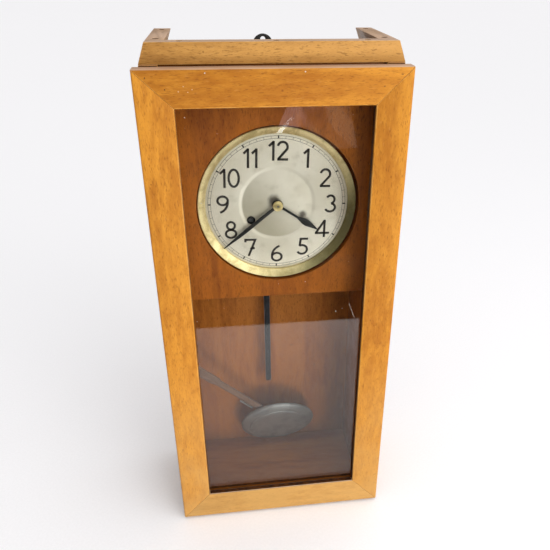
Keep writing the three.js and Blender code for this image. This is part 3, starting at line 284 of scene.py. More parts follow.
def metal(name, bright, dull, roughness, stain=0.4, metallic=1.0, scale=60, painted_shade_way=None):
    """Old metal: bright where it is handled, dull in patches, with pits and fine scratches.

    The last argument gives the way, from the object's middle, towards which the metal takes a painted
    shade of olive brown.
    """
    made, tree, bsdf = shader(name)
    even = place(tree)
    patches = rise(tree, noise(tree, even, scale, 5, 0.65, 0.4), 0.42, 0.68)
    pits = rise(tree, noise(tree, even, scale * 14, 2, 0.5), 0.68, 0.76)
    dull_patches = maths(tree, "MULTIPLY", patches, stain)
    dirt = maths(tree, "MAXIMUM", dull_patches, maths(tree, "MULTIPLY", pits, 0.7))
    colour = mixed(tree, dirt, rgb(bright), rgb(dull))
    # painted shade: one side of the metal is darkened to olive brown
    if painted_shade_way:
        ways = {0: put(tree, "TexCoord").outputs["Object"], 1: painted_shade_way}
        reach = put(tree, "VectorMath", ways, operation="DOT_PRODUCT").outputs["Value"]
        fray = maths(tree, "MULTIPLY", noise(tree, even, 45, 4, 0.7), 0.05)
        ragged = maths(tree, "ADD", reach, fray)
        colour = mixed(tree, rise(tree, ragged, 0.05, 0.12, 0, 0.75), colour, rgb(PAINTED_SHADE_OLIVE))
    tree.links.new(colour, bsdf.inputs["Base Color"])
    lines = noise(tree, place(tree, (1, 1, 0.05), (0.3, 0.1, 0)), 1400, 2, 0.6)
    rough = maths(tree, "ADD", maths(tree, "MULTIPLY", dirt, 0.3), roughness)
    rough = maths(tree, "ADD", rough, maths(tree, "MULTIPLY", lines, 0.08))
    tree.links.new(rough, bsdf.inputs["Roughness"])
    bsdf.inputs["Metallic"].default_value = metallic
    relief = maths(tree, "SUBTRACT", maths(tree, "MULTIPLY", lines, SCRATCH_RELIEF), pits)
    tree.links.new(bump(tree, relief, 0.00006, 0.6), bsdf.inputs["Normal"])
    return made


def radius_in(tree):
    """Distance from the object's own Y axis, in metres."""
    parts = put(tree, "SeparateXYZ", {0: put(tree, "TexCoord").outputs["Object"]}).outputs
    squares = [maths(tree, "MULTIPLY", parts[i], parts[i]) for i in (0, 2)]
    return maths(tree, "SQRT", maths(tree, "ADD", *squares))


# painted shadows of the hand nut and of the hour hand's spade on the dial: x and z of each one's middle,
# the radius it is dark out to, and the radius it is gone by, in mm
PAINTED_HAND_SHADOWS = [(-4.4, 4.8, 3.5, 11.0), (33.0, -15.5, 1.5, 7.0)]
SHADOW_EDGE_REACH = 2.0  # mm that the uneven edge adds to a painted shadow, about the middle of its range


def silvered():
    """A silvered dial: spun in rings, warm with age, with tarnish spots and a darker rim; painted shade
    darkens the lower left of its middle, and painted shadows of the hands lie on it.
    """
    made, tree, bsdf = shader("silvered_dial")
    even = place(tree, (1, 1, 1), (0.4, 0.2, 0.7))
    radius = radius_in(tree)
    spun = {"W": radius, "Scale": 2600, "Detail": 2}
    rings = put(tree, "TexNoise", spun, noise_dimensions="1D").outputs["Fac"]
    cloud = rise(tree, noise(tree, even, 16, 4, 0.6), 0.35, 0.7)
    colour = mixed(tree, cloud, rgb("f0e8d7"), rgb("e3dac6"))
    colour = mixed(tree, rise(tree, radius, 0.084, 0.096, 0, 0.5), colour, rgb("aea27e"))
    tarnish = rise(tree, noise(tree, even, 60, 3, 0.6), 0.50, 0.85, 0, 0.5)
    colour = mixed(tree, tarnish, colour, rgb("b3a98c"))
    parts = put(tree, "SeparateXYZ", {0: put(tree, "TexCoord").outputs["Object"]}).outputs
    # painted shade: the dial's sunk middle darkens towards its lower left
    painted_shade_lower_left = rise(tree, maths(tree, "ADD", *(parts[i] for i in (0, 2))), 0.05, -0.05, 0, 0.65)
    middle = rise(tree, radius, CENTRE_RADIUS * MM + 0.002, CENTRE_RADIUS * MM - 0.001)
    colour = mixed(tree, maths(tree, "MULTIPLY", painted_shade_lower_left, middle), colour, rgb("a89f86"))
    shadow_edge_noise = noise(tree, even, 170, 3, 0.6)
    # painted shadows of the hand nut and the hour hand, cast up and to the left on the dial
    for x, z, near, far in PAINTED_HAND_SHADOWS:
        ends = {0: put(tree, "TexCoord").outputs["Object"], 1: (x * MM, 0, z * MM)}
        gap = put(tree, "VectorMath", ends, operation="DISTANCE").outputs["Value"]
        ragged = maths(tree, "ADD", gap, maths(tree, "MULTIPLY", shadow_edge_noise, 2 * SHADOW_EDGE_REACH * MM))
        stain = rise(tree, ragged, (far + SHADOW_EDGE_REACH) * MM, (near + SHADOW_EDGE_REACH) * MM, 0, 0.85)
        colour = mixed(tree, stain, colour, rgb("4c443c"))
    spots = rise(tree, noise(tree, even, 420, 2, 0.5), 0.72, 0.76, 0, 0.6)
    colour = mixed(tree, spots, colour, rgb("5a4e3c"))
    tree.links.new(colour, bsdf.inputs["Base Color"])
    bsdf.inputs["Metallic"].default_value = 0.5
    rough = rise(tree, cloud, 0, 1, 0.32, 0.36)
    tree.links.new(rough, bsdf.inputs["Roughness"])
    bsdf.inputs["Anisotropic"].default_value = 0.5
    tangent = put(tree, "Tangent", direction_type="RADIAL", axis="Y").outputs[0]
    tree.links.new(tangent, bsdf.inputs["Tangent"])
    tree.links.new(bump(tree, rings, 0.00002, 0.5), bsdf.inputs["Normal"])
    return made


def printed():
    """Black dial paint, greyed and broken by wear."""
    made, tree, bsdf = shader("dial_paint")
    even = place(tree, (1, 1, 1), (0.2, 0.9, 0.4))
    worn = rise(tree, noise(tree, even, 160, 4, 0.7), 0.52, 0.74)
    tree.links.new(mixed(tree, worn, rgb("2b2622"), rgb("5d564a")), bsdf.inputs["Base Color"])
    tree.links.new(rise(tree, worn, 0, 1, 0.45, 0.7), bsdf.inputs["Roughness"])
    return made


def pane():
    """Clear sheet glass: it lets light straight through and mirrors by Fresnel, with faint dirt."""
    made, tree, bsdf = shader("sheet_glass")
    tree.nodes.remove(bsdf)
    even = place(tree)
    clear = put(tree, "BsdfTransparent", {"Color": (0.97, 0.98, 0.97, 1)}).outputs[0]
    haze = rise(tree, noise(tree, even, 26, 4, 0.7), 0.45, 0.8, 0.0, 0.05)
    mirror = put(tree, "BsdfGlossy", {"Color": (1, 1, 1, 1), "Roughness": haze}).outputs[0]
    facing = put(tree, "LayerWeight", {"Blend": 0.5}).outputs["Facing"]
    edge_on = maths(tree, "MULTIPLY", maths(tree, "POWER", facing, 5.0), 0.96)
    shine = maths(tree, "ADD", edge_on, 0.04)
    both = put(tree, "MixShader", {0: shine, 1: clear, 2: mirror}).outputs[0]
    tree.links.new(both, tree.nodes["Material Output"].inputs["Surface"])
    return made


def paper(name, colour):
    """The studio floor: plain and matt, with a faint tooth."""
    made, tree, bsdf = shader(name)
    tooth = noise(tree, place(tree), 300, 2, 0.5)
    speckled = mixed(tree, rise(tree, tooth, 0.3, 0.7, 0.0, 0.04), colour, rgb("8a8784"))
    tree.links.new(speckled, bsdf.inputs["Base Color"])
    bsdf.inputs["Roughness"].default_value = 0.85
    bsdf.inputs["Specular IOR Level"].default_value = 0.05
    return made


def plain(name, code, roughness, patch_code):
    """A matt coat, patchy in tone."""
    made, tree, bsdf = shader(name)
    cloud = rise(tree, noise(tree, place(tree), 700, 3, 0.6), 0.4, 0.65)
    tree.links.new(mixed(tree, cloud, rgb(code), rgb(patch_code)), bsdf.inputs["Base Color"])
    tree.links.new(rise(tree, cloud, 0, 1, roughness, roughness + 0.1), bsdf.inputs["Roughness"])
    return made


def glowing(name, colour, power):
    """A softly uneven glow, for the reflection of a bright thing in the room."""
    made, tree, bsdf = shader(name)
    cloud = noise(tree, place(tree, (9, 1.0, 1)), 1, 1, 0.5)
    bsdf.inputs["Base Color"].default_value = (0, 0, 0, 1)
    bsdf.inputs["Emission Color"].default_value = colour
    uneven = rise(tree, cloud, 0.40, 0.56, power * 0.25, power)
    tree.links.new(uneven, bsdf.inputs["Emission Strength"])
    return made


# ---- Mesh helpers --------------------------------------------------------------------------

def piece(name, bm, materials, body, crease=32, at=None, replaces=()):
    """A piece of the model from a bmesh, riding on a body."""
    mesh = bpy.data.meshes.new(name)
    bmesh.ops.recalc_face_normals(bm, faces=bm.faces)
    bm.to_mesh(mesh)
    bm.free()
    mesh.shade_smooth()
    mesh.set_sharp_from_angle(angle=math.radians(crease))
    for material in materials:
        mesh.materials.append(material)
    made = bpy.data.objects.new(name, mesh)
    bpy.context.scene.collection.objects.link(made)
    if at is not None:
        made.matrix_world = at
    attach(made, body)
    if replaces:
        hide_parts(*replaces)
    return made


def copied(node):
    """A CAD node's mesh as a bmesh, with its flat faces whole."""
    bm = bmesh.new()
    bm.from_mesh(NODES[node].data)
    bmesh.ops.remove_doubles(bm, verts=bm.verts, dist=2e-6)
    bmesh.ops.dissolve_limit(bm, angle_limit=math.radians(0.6), verts=bm.verts, edges=bm.edges)
    return bm


def in_hole(face):
    """Whether a face belongs to a drilled hole: it meets two or more of its neighbours inwards."""
    inward = [
        edge for edge in face.edges
        if len(edge.link_faces) == 2 and edge.calc_face_angle_signed() < -0.2
    ]
    return len(inward) >= 2


SHARP_CORNER = math.radians(40)


def softened(node, width, materials, at=None, marked=None, cut_z=None):
    """Stands for a CAD node with its edges rounded; the rounded faces take the last material.

    marked(face) gives the index of the material that a face takes. Faces that cross the height
    cut_z are parted there first.
    """
    bm = copied(node)
    if cut_z is not None:
        everything = bm.verts[:] + bm.edges[:] + bm.faces[:]
        bmesh.ops.bisect_plane(bm, geom=everything, plane_co=(0, 0, cut_z), plane_no=(0, 0, 1))
    bm.normal_update()
    if marked:
        for face in bm.faces:
            face.material_index = int(marked(face))
    if at is not None:
        bmesh.ops.transform(bm, matrix=at.inverted(), verts=bm.verts)
    sharp = [
        edge for edge in bm.edges
        if len(edge.link_faces) == 2 and edge.calc_face_angle() > SHARP_CORNER
    ]
    bmesh.ops.bevel(
        bm, geom=sharp, offset=width, segments=2, profile=0.5, affect="EDGES",
        clamp_overlap=True, material=len(materials) - 1,
    )
    return piece(f"{node}_shown", bm, materials, BODY_OF[node], at=at, replaces=[node])


def lathe(bm, profile, steps, centre=(0, 0)):
    """Turns a profile of (radius, y) points, in millimetres, about a line along Y."""
    rings = []
    for radius, y in profile:
        if radius == 0:
            rings.append([bm.verts.new((centre[0] * MM, y * MM, centre[1] * MM))])
            continue
        ring = []
        for i in range(steps):
            angle = 2 * math.pi * i / steps
            x = centre[0] + radius * math.sin(angle)
            z = centre[1] + radius * math.cos(angle)
            ring.append(bm.verts.new((x * MM, y * MM, z * MM)))
        rings.append(ring)
    for one, two in zip(rings, rings[1:]):
        for i in range(steps):
            j = (i + 1) % steps
            corners = [one[i % len(one)], one[j % len(one)], two[j % len(two)], two[i % len(two)]]
            unique = list(dict.fromkeys(corners))
            if len(unique) > 2:
                bm.faces.new(unique)
    return rings


def dress(material, *nodes):
    """Gives CAD nodes a material."""
    for node in nodes:
        mesh = NODES[node].data
        mesh.materials.clear()
        mesh.materials.append(material)


# ---- Wooden case and door ------------------------------------------------------------------

OPENING_EDGES = {
    # door members and the way that their inner edges face
    "door_stile_left": Vector((1, 0, 0)),
    "door_stile_right": Vector((-1, 0, 0)),
    "door_rail_bottom": Vector((0, 0, 1)),
    "door_rail_top": Vector((0, 0, -1)),
    "glass_bead_left": Vector((1, 0, 0)),
    "glass_bead_right": Vector((-1, 0, 0)),
    "glass_bead_bottom": Vector((0, 0, 1)),
    "glass_bead_top": Vector((0, 0, -1)),
}
INNER_SIDES = {"case_side_left": Vector((1, 0, 0)), "case_side_right": Vector((-1, 0, 0))}


def faces_in(face, way):
    return face.normal.dot(way) > 0.9


def over_door(face, z):
    """The front edge of a case side, in the gap between the door and the cornice, painted near-black as
    the shadow in that gap.
    """
    return face.normal.y < -0.9 and face.calc_center_median().z > z


def build_wood():
    members = {
        "case_side_left": ("oak", "Z"),
        "case_side_right": ("oak", "Z"),
        # the case floor takes the darker back wood as painted shade, low inside the case
        "case_floor": ("back_oak", "X"),
        "back_board": ("back_oak", "Z"),
        "head_rail": ("back_oak", "X"),
        "cornice_front": ("dusty_oak", "X"),
        "cornice_left": ("dusty_oak", "Y"),
        "cornice_right": ("dusty_oak", "Y"),
        "dial_board": ("dark_oak", "Z"),
        "dial_board_cleat_left": ("dark_oak", "Z"),
        "dial_board_cleat_right": ("dark_oak", "Z"),
        "door_stile_left": ("oak", "Z"),
        "door_stile_right": ("oak", "Z"),
        "door_rail_bottom": ("dusty_oak", "X"),
        "door_rail_top": ("oak", "X"),
        "glass_bead_left": ("dark_oak", "Z"),
        "glass_bead_right": ("dark_oak", "Z"),
        "glass_bead_bottom": ("dark_oak", "X"),
        "glass_bead_top": ("dark_oak", "X"),
    }
    dark = stained("stain_and_shade_recess", "2a1408")
    for node, (tone, grain) in members.items():
        materials = [wood(tone, grain), dark, wood(tone, grain, worn=True)]
        marked = None
        cut_z = None
        if node in OPENING_EDGES:
            way = OPENING_EDGES[node]
            marked = lambda face, way=way: face.normal.dot(way) > 0.6
        elif node in INNER_SIDES:
            way = INNER_SIDES[node]
            cut_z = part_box("door_rail_top")[1].z - 3 * MM
            materials.insert(2, wood("back_oak", "Z"))
            # inner faces take the darker back wood; front edges in the gap over the door take the
            # near-black as painted shadow
            marked = lambda face, way=way, z=cut_z: 2 * faces_in(face, way) or over_door(face, z)
        elif node.startswith("cornice"):
            # the faces of the cornice's drilled holes take the near-black, as painted shade
            marked = in_hole
        softened(node, 0.55 * MM, materials, marked=marked, cut_z=cut_z)


# ---- Dial ----------------------------------------------------------------------------------

DIAL_SINK = 0.7  # mm that the middle of the dial lies behind its ring
DIAL_DOME = 1.5  # mm that the sunk middle swells forwards again
DOME_RINGS = 16  # rings of points that make the dome
SHOULDER = 6.0  # mm that the step between the middle and the ring takes
DIAL_FEET = ((46, 430), (46, 541), (-61, 541))  # x and z in mm, as in the CAD
BEZEL_PINS = (12, 60, 130, 220, 311)  # degrees clockwise from 12


def arc(cx, cy, rx, ry, start, end, count=18):
    """Points on part of an ellipse, by degrees anticlockwise from its right."""
    angles = [math.radians(start + (end - start) * i / (count - 1)) for i in range(count)]
    return [(cx + rx * math.cos(a), cy + ry * math.sin(a)) for a in angles]


# Each digit's strokes, one high, standing on its lower left corner
DIGITS = {
    "0": [arc(0.32, 0.5, 0.25, 0.44, 0, 360, 40)],
    "1": [[(0.27, 0.0), (0.27, 0.985)], [(0.29, 0.955), (0.05, 0.73)]],
    "2": [
        arc(0.32, 0.69, 0.24, 0.25, 168, -28, 22) + [(0.09, 0.0625)],
        [(0.06, 0.0625), (0.60, 0.0625)],
    ],
    "3": [arc(0.29, 0.72, 0.21, 0.22, 150, -80, 20), arc(0.29, 0.285, 0.26, 0.225, 78, -158, 24)],
    "4": [[(0.49, 0.0), (0.49, 0.99)], [(0.49, 0.96), (0.05, 0.24)], [(0.0, 0.24), (0.76, 0.24)]],
    "5": [[(0.60, 0.94), (0.20, 0.94), (0.16, 0.53)], arc(0.29, 0.315, 0.27, 0.255, 122, -152, 26)],
    "6": [arc(0.33, 0.29, 0.26, 0.23, 0, 360, 36), arc(0.60, 0.33, 0.53, 0.61, 176, 104, 16)],
    "7": [[(0.05, 0.80), (0.05, 0.94), (0.57, 0.94), (0.22, 0.0)], [(0.30, 0.42), (0.54, 0.46)]],
    "8": [arc(0.33, 0.735, 0.20, 0.205, 0, 360, 32), arc(0.33, 0.28, 0.265, 0.22, 0, 360, 36)],
    "9": [arc(0.31, 0.71, 0.26, 0.23, 0, 360, 36), arc(0.04, 0.67, 0.53, 0.61, -4, -76, 16)],
}
DIGIT_WIDTH = {"0": 0.64, "1": 0.33, "4": 0.76}
DIGIT_GAP = 0.08
NUMERAL_HEIGHT = 25.0
NUMERAL_RADIUS = 69.6
STROKE = 3.05
TRACK = (84.9, 88.3)
TRACK_LINE = 0.42


def ribbon(bm, points, width, y):
    """A flat stroke of even width through (x, z) points, in millimetres, facing -Y."""
    closed = math.dist(points[0], points[-1]) < 1e-6
    if closed:
        points = points[:-1]
    count = len(points)
    sides = []
    for i, point in enumerate(points):
        before = points[i - 1] if closed or i > 0 else point
        after = points[(i + 1) % count] if closed or i < count - 1 else point
        steps = [
            Vector((b[0] - a[0], b[1] - a[1])).normalized()
            for a, b in ((before, point), (point, after)) if math.dist(a, b) > 1e-9
        ]
        way = sum(steps, Vector((0, 0))).normalized()
        across = Vector((-way.y, way.x))
        reach = width / 2 / max(0.45, abs(across.dot(Vector((-steps[0].y, steps[0].x)))))
        edge_points = [Vector(point) + side * reach * across for side in (1, -1)]
        sides.append([bm.verts.new((edge.x * MM, y * MM, edge.y * MM)) for edge in edge_points])
    pairs = list(zip(sides, sides[1:])) + ([(sides[-1], sides[0])] if closed else [])
    for (a, b), (c, d) in pairs:
        bm.faces.new((a, b, d, c))


def numeral(bm, text, centre, y):
    widths = [DIGIT_WIDTH.get(digit, 0.62) for digit in text]
    total = sum(widths) + DIGIT_GAP * (len(text) - 1)
    x = -total / 2
    for digit, width in zip(text, widths):
        for stroke in DIGITS[digit]:
            points = [
                (centre[0] + (x + px) * NUMERAL_HEIGHT, centre[1] + (pz - 0.5) * NUMERAL_HEIGHT)
                for px, pz in stroke
            ]
            ribbon(bm, points, STROKE, y)
        x += width + DIGIT_GAP


def on_dial(radius, minutes):
    angle = 2 * math.pi * minutes / 60
    return radius * math.sin(angle), radius * math.cos(angle)


def dome_depth(x, z):
    """How far the middle of the dial lies behind the ring at (x, z), all in metres."""
    across = math.hypot(x, z) / (CENTRE_RADIUS * MM)
    return (DIAL_SINK - DIAL_DOME * (1 - across * across)) * MM


def fill_domed(bm, outer, bores):
    """Fills the space between a ring of vertices and the bores inside it with a gentle dome."""
    rims = [outer, *bores]
    fixed = [vert for rim in rims for vert in rim]
    for vert in fixed:
        vert.co.y = dome_depth(vert.co.x, vert.co.z)
    points = [Vector((vert.co.x, vert.co.z)) for vert in fixed]
    edges = []
    for rim in rims:
        first = fixed.index(rim[0])
        edges += [(first + i, first + (i + 1) % len(rim)) for i in range(len(rim))]
    holes = [
        (sum((Vector((v.co.x, v.co.z)) for v in bore), Vector((0, 0))) / len(bore),
         (bore[0].co - bore[len(bore) // 2].co).length / 2)
        for bore in bores
    ]
    for ring in range(1, DOME_RINGS):
        radius = CENTRE_RADIUS * MM * ring / DOME_RINGS
        for i in range(6 * ring):
            angle = math.pi * i / (3 * ring)
            point = Vector((radius * math.sin(angle), radius * math.cos(angle)))
            if all((point - centre).length > reach + MM for centre, reach in holes):
                points.append(point)
    spots, _, triangles, origins, _, _ = delaunay_2d_cdt(points, edges, [], 0, 1e-7)
    verts = []
    for spot, sources in zip(spots, origins):
        known = [source for source in sources if source < len(fixed)]
        verts.append(fixed[known[0]] if known else bm.verts.new((spot.x, dome_depth(*spot), spot.y)))
    for triangle in triangles:
        middle = sum((spots[i] for i in triangle), Vector((0, 0))) / 3
        if all((middle - centre).length > reach for centre, reach in holes):
            bm.faces.new([verts[i] for i in triangle])


def build_dial(silver, paint):
    at = Matrix.Translation(DIAL)
    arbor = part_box("winding_grommet")
    winding = ((arbor[0] + arbor[1]) / 2 - DIAL) / MM
    bm = bmesh.new()
    sunk = DIAL_SINK
    shoulder = [
        (CENTRE_RADIUS + SHOULDER * t, sunk * (1 - t * t * (3 - 2 * t)))
        for t in (i / 8 for i in range(9))
    ]
    rings = lathe(bm, [*shoulder, (66, 0), (97.2, 0), (98, 0.3), (98, 1.0)], 144)
    back = lathe(bm, [(98, 1.0), (51.5, 1.0), (CENTRE_RADIUS + 0.6, sunk + 1.0)], 144)
    bores = []
    for centre, radius, steps in (((0, 0), 4.2, 32), ((winding.x, winding.z), 4.35, 32)):
        bores.append(lathe(bm, [(radius, sunk), (radius, sunk + 1.0)], steps, centre))
    fill_domed(bm, rings[0], [bore[0] for bore in bores])
    loops = [back[-1], *(bore[1] for bore in bores)]
    edges = [
        bm.edges.get((loop[i], loop[(i + 1) % len(loop)]))
        for loop in loops for i in range(len(loop))
    ]
    bmesh.ops.triangle_fill(bm, edges=edges, use_beauty=True)
    bmesh.ops.remove_doubles(bm, verts=bm.verts, dist=1e-6)
    for x, z in DIAL_FEET:
        foot = (x - DIAL.x / MM, z - DIAL.z / MM)
        lathe(bm, [(0, 1.0), (2.6, 1.0), (2.0, 1.8), (2.0, 13.2), (1.6, 13.8), (0, 13.8)], 20, foot)
    piece("dial_silvered", bm, [silver], "case", at=at, replaces=["dial_plate"])

    turned = at @ Matrix.Rotation(DIAL_TURN, 4, "Y")
    bm = bmesh.new()
    y = -0.05
    for hour in range(1, 13):
        numeral(bm, str(hour), on_dial(NUMERAL_RADIUS, 5 * hour), y)
    for radius in TRACK:
        ribbon(bm, arc(0, 0, radius, radius, 0, 360, 181), TRACK_LINE, y)
    for minute in range(60):
        big = minute % 5 == 0
        inner, outer = (TRACK[0] - 0.1, TRACK[1] + 0.3) if big else TRACK
        ribbon(bm, [on_dial(inner, minute), on_dial(outer, minute)], 1.7 if big else 0.4, y)
    numerals = piece("dial_numerals", bm, [paint], "case", at=turned)
    thick = numerals.modifiers.new("paint", "SOLIDIFY")
    thick.thickness = 0.04 * MM
    thick.offset = 0


BEZEL_CROWN = 0.35  # mm that the funnel of the bezel swells outwards


def build_bezel(brass, nail):
    at = Matrix.Translation((DIAL.x, 0, DIAL.z))
    front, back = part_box("bezel")[0].y / MM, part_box("bezel")[1].y / MM
    outer, inner, lip, rise_to = 101.4, 91.6, 2.6, 0.5
    start, end = back - lip, front + rise_to
    slope = []
    for i in range(11):
        t = i / 10
        crown = BEZEL_CROWN * math.sin(math.pi * t)
        slope.append((inner + 0.7 + (outer - inner - 2.2) * t, start + (end - start) * t - crown))
    profile = [
        (inner, back), (inner, start + 0.6), (inner + 0.2, start + 0.2), *slope,
        (outer - 1.2, front + 0.2), (outer - 0.8, front),
        (outer - 0.3, front + 0.1), (outer, front + 0.6),
        (outer, front + 2), (outer - 0.9, front + 2), (outer - 1.4, front + 1.3),
        (inner + 1.9, back), (inner, back),
    ]
    bm = bmesh.new()
    lathe(bm, profile, 180)
    bmesh.ops.remove_doubles(bm, verts=bm.verts, dist=1e-6)
    piece("bezel_spun", bm, [brass], "case", crease=50, at=at, replaces=["bezel"])

    bm = bmesh.new()
    for degrees in BEZEL_PINS:
        x, z = on_dial(97.6, degrees / 6)
        y = (start + end) / 2 - BEZEL_CROWN + 0.1
        head = [(0, y - 0.45), (0.5, y - 0.38), (0.85, y - 0.1), (0.9, y + 0.5), (0, y + 0.5)]
        lathe(bm, head, 14, (x, z))
    piece("bezel_pins", bm, [nail], "case", at=at)


def build_hands(black, brass, steel):
    for node in ("minute_hand", "hour_hand"):
        softened(node, 0.22 * MM, [black, black], at=Matrix.Translation(DIAL))
    low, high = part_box("hand_nut")
    at = Matrix.Translation((DIAL.x, 0, DIAL.z))
    front, back = low.y / MM, high.y / MM
    bm = bmesh.new()
    lathe(bm, [
        (0, front + 1.6), (1.5, front + 1.6), (1.6, front + 1.0), (2.1, front + 0.9), (4.6, front + 1.0),
        (5.0, front + 1.25), (5.4, front + 1.1), (6.2, front + 1.4), (6.6, front + 2.0),
        (6.6, back - 0.3), (6.3, back), (0, back),
    ], 48)
    piece("hand_nut_domed", bm, [brass], BODY_OF["hand_nut"], at=at, replaces=["hand_nut"])
    bm = bmesh.new()
    tip = [(0, 0.5), (0.8, 0.55), (1.1, 0.8), (1.1, 1.7), (0, 1.7)]
    lathe(bm, [(radius, front + depth) for radius, depth in tip], 16)
    piece("hand_nut_arbor_tip", bm, [steel], BODY_OF["hand_nut"], at=at)


# ---- Pendulum ------------------------------------------------------------------------------

def build_pendulum(zinc, steel, iron):
    bm = bmesh.new()
    lathe(bm, [
        (0, -6.4), (14, -6.35), (30, -6.2), (40, -5.95), (45.2, -5.6), (46.0, -5.2), (46.3, -4.3),
        (46.7, -4.1), (47.2, -4.3), (47.6, -4.5), (48.6, -4.45), (54, -2.9), (58.4, -1.1),
        (59.5, -0.2), (60, 0.8),
        (60, 3.0), (59.4, 3.7), (58.3, 4.0), (30, 4.0), (8, 4.0), (8, 7.0), (0, 7.0),
    ], 128)
    piece(
        "pendulum_bob_turned", bm, [zinc], "pendulum",
        crease=40, at=BOB_PLACE, replaces=["pendulum_bob"],
    )
    grain = [wood("rod_wood", "Z"), wood("rod_wood", "Z", worn=True)]
    softened("pendulum_rod", 0.4 * MM, grain, at=PENDULUM)
    softened("pendulum_leader", 0.3 * MM, [iron, steel])

    # A short steel strip beside the rod, above the bob
    bm = bmesh.new()
    corners = [(-11.2, 61), (-8.2, 61), (-8.2, 97), (-11.2, 94)]
    front = [bm.verts.new((x * MM, 7.4 * MM, z * MM)) for x, z in corners]
    back = [bm.verts.new((x * MM, 9.6 * MM, z * MM)) for x, z in corners]
    bm.faces.new(front)
    bm.faces.new(back)
    for i in range(4):
        j = (i + 1) % 4
        bm.faces.new((front[i], front[j], back[j], back[i]))
    bmesh.ops.bevel(bm, geom=bm.edges[:], offset=0.4 * MM, segments=2, profile=0.5, affect="EDGES")
    piece("pendulum_side_strip", bm, [zinc], "pendulum", at=PENDULUM)


# ---- Screws and marks ----------------------------------------------------------------------

def screw_head(bm, radius, height, slot_half, turn, matrix):
    """A slotted round head in its own frame, facing -Y, then placed by matrix. Millimetres."""
    depth = height * 0.45
    cuts = [-1, -0.9, -0.7, -0.4]
    levels = [c * radius for c in cuts] + [-slot_half, -slot_half, slot_half, slot_half]
    levels += [-c * radius for c in reversed(cuts)]
    rows = []
    for index, x in enumerate(levels):
        chord = math.sqrt(max(0.0, radius * radius - x * x))
        in_slot = index in (5, 6)
        row = []
        for k in range(9):
            z = chord * math.cos(math.pi * k / 8)
            dome = height * math.sqrt(max(0.0, 1 - (x * x + z * z) / (radius * radius * 1.04)))
            y = -(dome - depth) if in_slot else -dome
            c = math.cos(turn)
            s = math.sin(turn)
            spot = Vector((x * c - z * s, min(y, 0), x * s + z * c)) * MM
            row.append(bm.verts.new(matrix @ spot))
        rows.append(row)
    for one, two in zip(rows, rows[1:]):
        for k in range(8):
            corners = list(dict.fromkeys([one[k], one[k + 1], two[k + 1], two[k]]))
            if len(corners) > 2:
                bm.faces.new(corners)
    bmesh.ops.remove_doubles(bm, verts=bm.verts, dist=1e-7)


HANGER_SCREWS = (575, 625)  # z in mm
HINGE_SCREWS = (-17, 0, 17)  # mm from the middle of a leaf


def build_screws(steel, brass):
    draw = random.Random(SEED)
    bm = bmesh.new()
    low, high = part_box("hanger_plate")
    for z in HANGER_SCREWS:
        spot = Matrix.Translation(((low.x + high.x) / 2, low.y, z * MM))
        screw_head(bm, 3.6, 1.6, 0.5, draw.uniform(0, math.pi), spot)
    piece("hanger_screws", bm, [steel], "case", crease=50)

    bm = bmesh.new()
    faces_left = Matrix.Rotation(math.radians(-90), 4, "Z")
    for node in ("hinge_case_leaf_1", "hinge_case_leaf_2"):
        low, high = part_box(node)
        face_x = min(vert.co.x for vert in NODES[node].data.vertices if vert.co.y > low.y + 6 * MM)
        middle_z = (low.z + high.z) / 2
        for step in HINGE_SCREWS:
            spot = Matrix.Translation((face_x, high.y - 5 * MM, middle_z + step * MM))
            screw_head(bm, 2.1, 0.55, 0.35, draw.uniform(0, math.pi), spot @ faces_left)
    piece("hinge_screws", bm, [brass], "case", crease=50)


def blot(bm, x, y, z, radius, draw):
    """A thin spot of uneven outline on a plane that faces -Y. Millimetres."""
    count = 9
    turn = draw.uniform(0, math.pi)
    rim = []
    for i in range(count):
        angle = turn + 2 * math.pi * i / count
        reach = radius * draw.uniform(0.6, 1.15)
        edge_x = x + reach * math.cos(angle)
        edge_z = z + reach * math.sin(angle)
        rim.append(bm.verts.new((edge_x * MM, y * MM, edge_z * MM)))
    crown = bm.verts.new((x * MM, (y - BLOT_RISE) * MM, z * MM))
    base = bm.verts.new((x * MM, (y + BLOT_RISE) * MM, z * MM))
    for i in range(count):
        one, two = rim[i], rim[(i + 1) % count]
        bm.faces.new((one, two, crown))
        bm.faces.new((two, one, base))


BLOT_RISE = 0.01  # mm
EDGE_CLEAR = 4.0  # mm, keeps a mark off the door's rounded outer edges
SCRATCH_START = (0.9, 0.55)  # parts of the way across and up the pane
SCRATCH_LENGTH = 22.0  # mm
SCRATCH_LEAN = math.radians(20)
SCRATCH_SPOTS = 18


def part_way(low, high, across, up):
    """The point (x, z), in millimetres, that lies part of the way across and up a box."""
    return (low.x + across * (high.x - low.x)) / MM, (low.z + up * (high.z - low.z)) / MM


def gathered(draw, count, centre, spread, radii):
    """Random spots (x, z, radius) that gather about a centre. Millimetres."""
    return [
        (draw.gauss(centre[0], spread), draw.gauss(centre[1], spread), draw.uniform(*radii))
        for _ in range(count)
    ]


def strewn(draw, count, low, high, radii):
    """Random spots (x, z, radius) all over a pane, 6 mm clear of its edges. Millimetres."""
    return [
        (
            draw.uniform(low.x / MM + 6, high.x / MM - 6),
            draw.uniform(low.z / MM + 6, high.z / MM - 6),
            draw.uniform(*radii),
        )
        for _ in range(count)
    ]


def scratch(start):
    """A row of spots that runs down and to the right. Millimetres."""
    steps = [SCRATCH_LENGTH * i / (SCRATCH_SPOTS - 1) for i in range(SCRATCH_SPOTS)]
    return [
        (start[0] + step * math.sin(SCRATCH_LEAN), start[1] - step * math.cos(SCRATCH_LEAN), 0.42)
        for step in steps
    ]


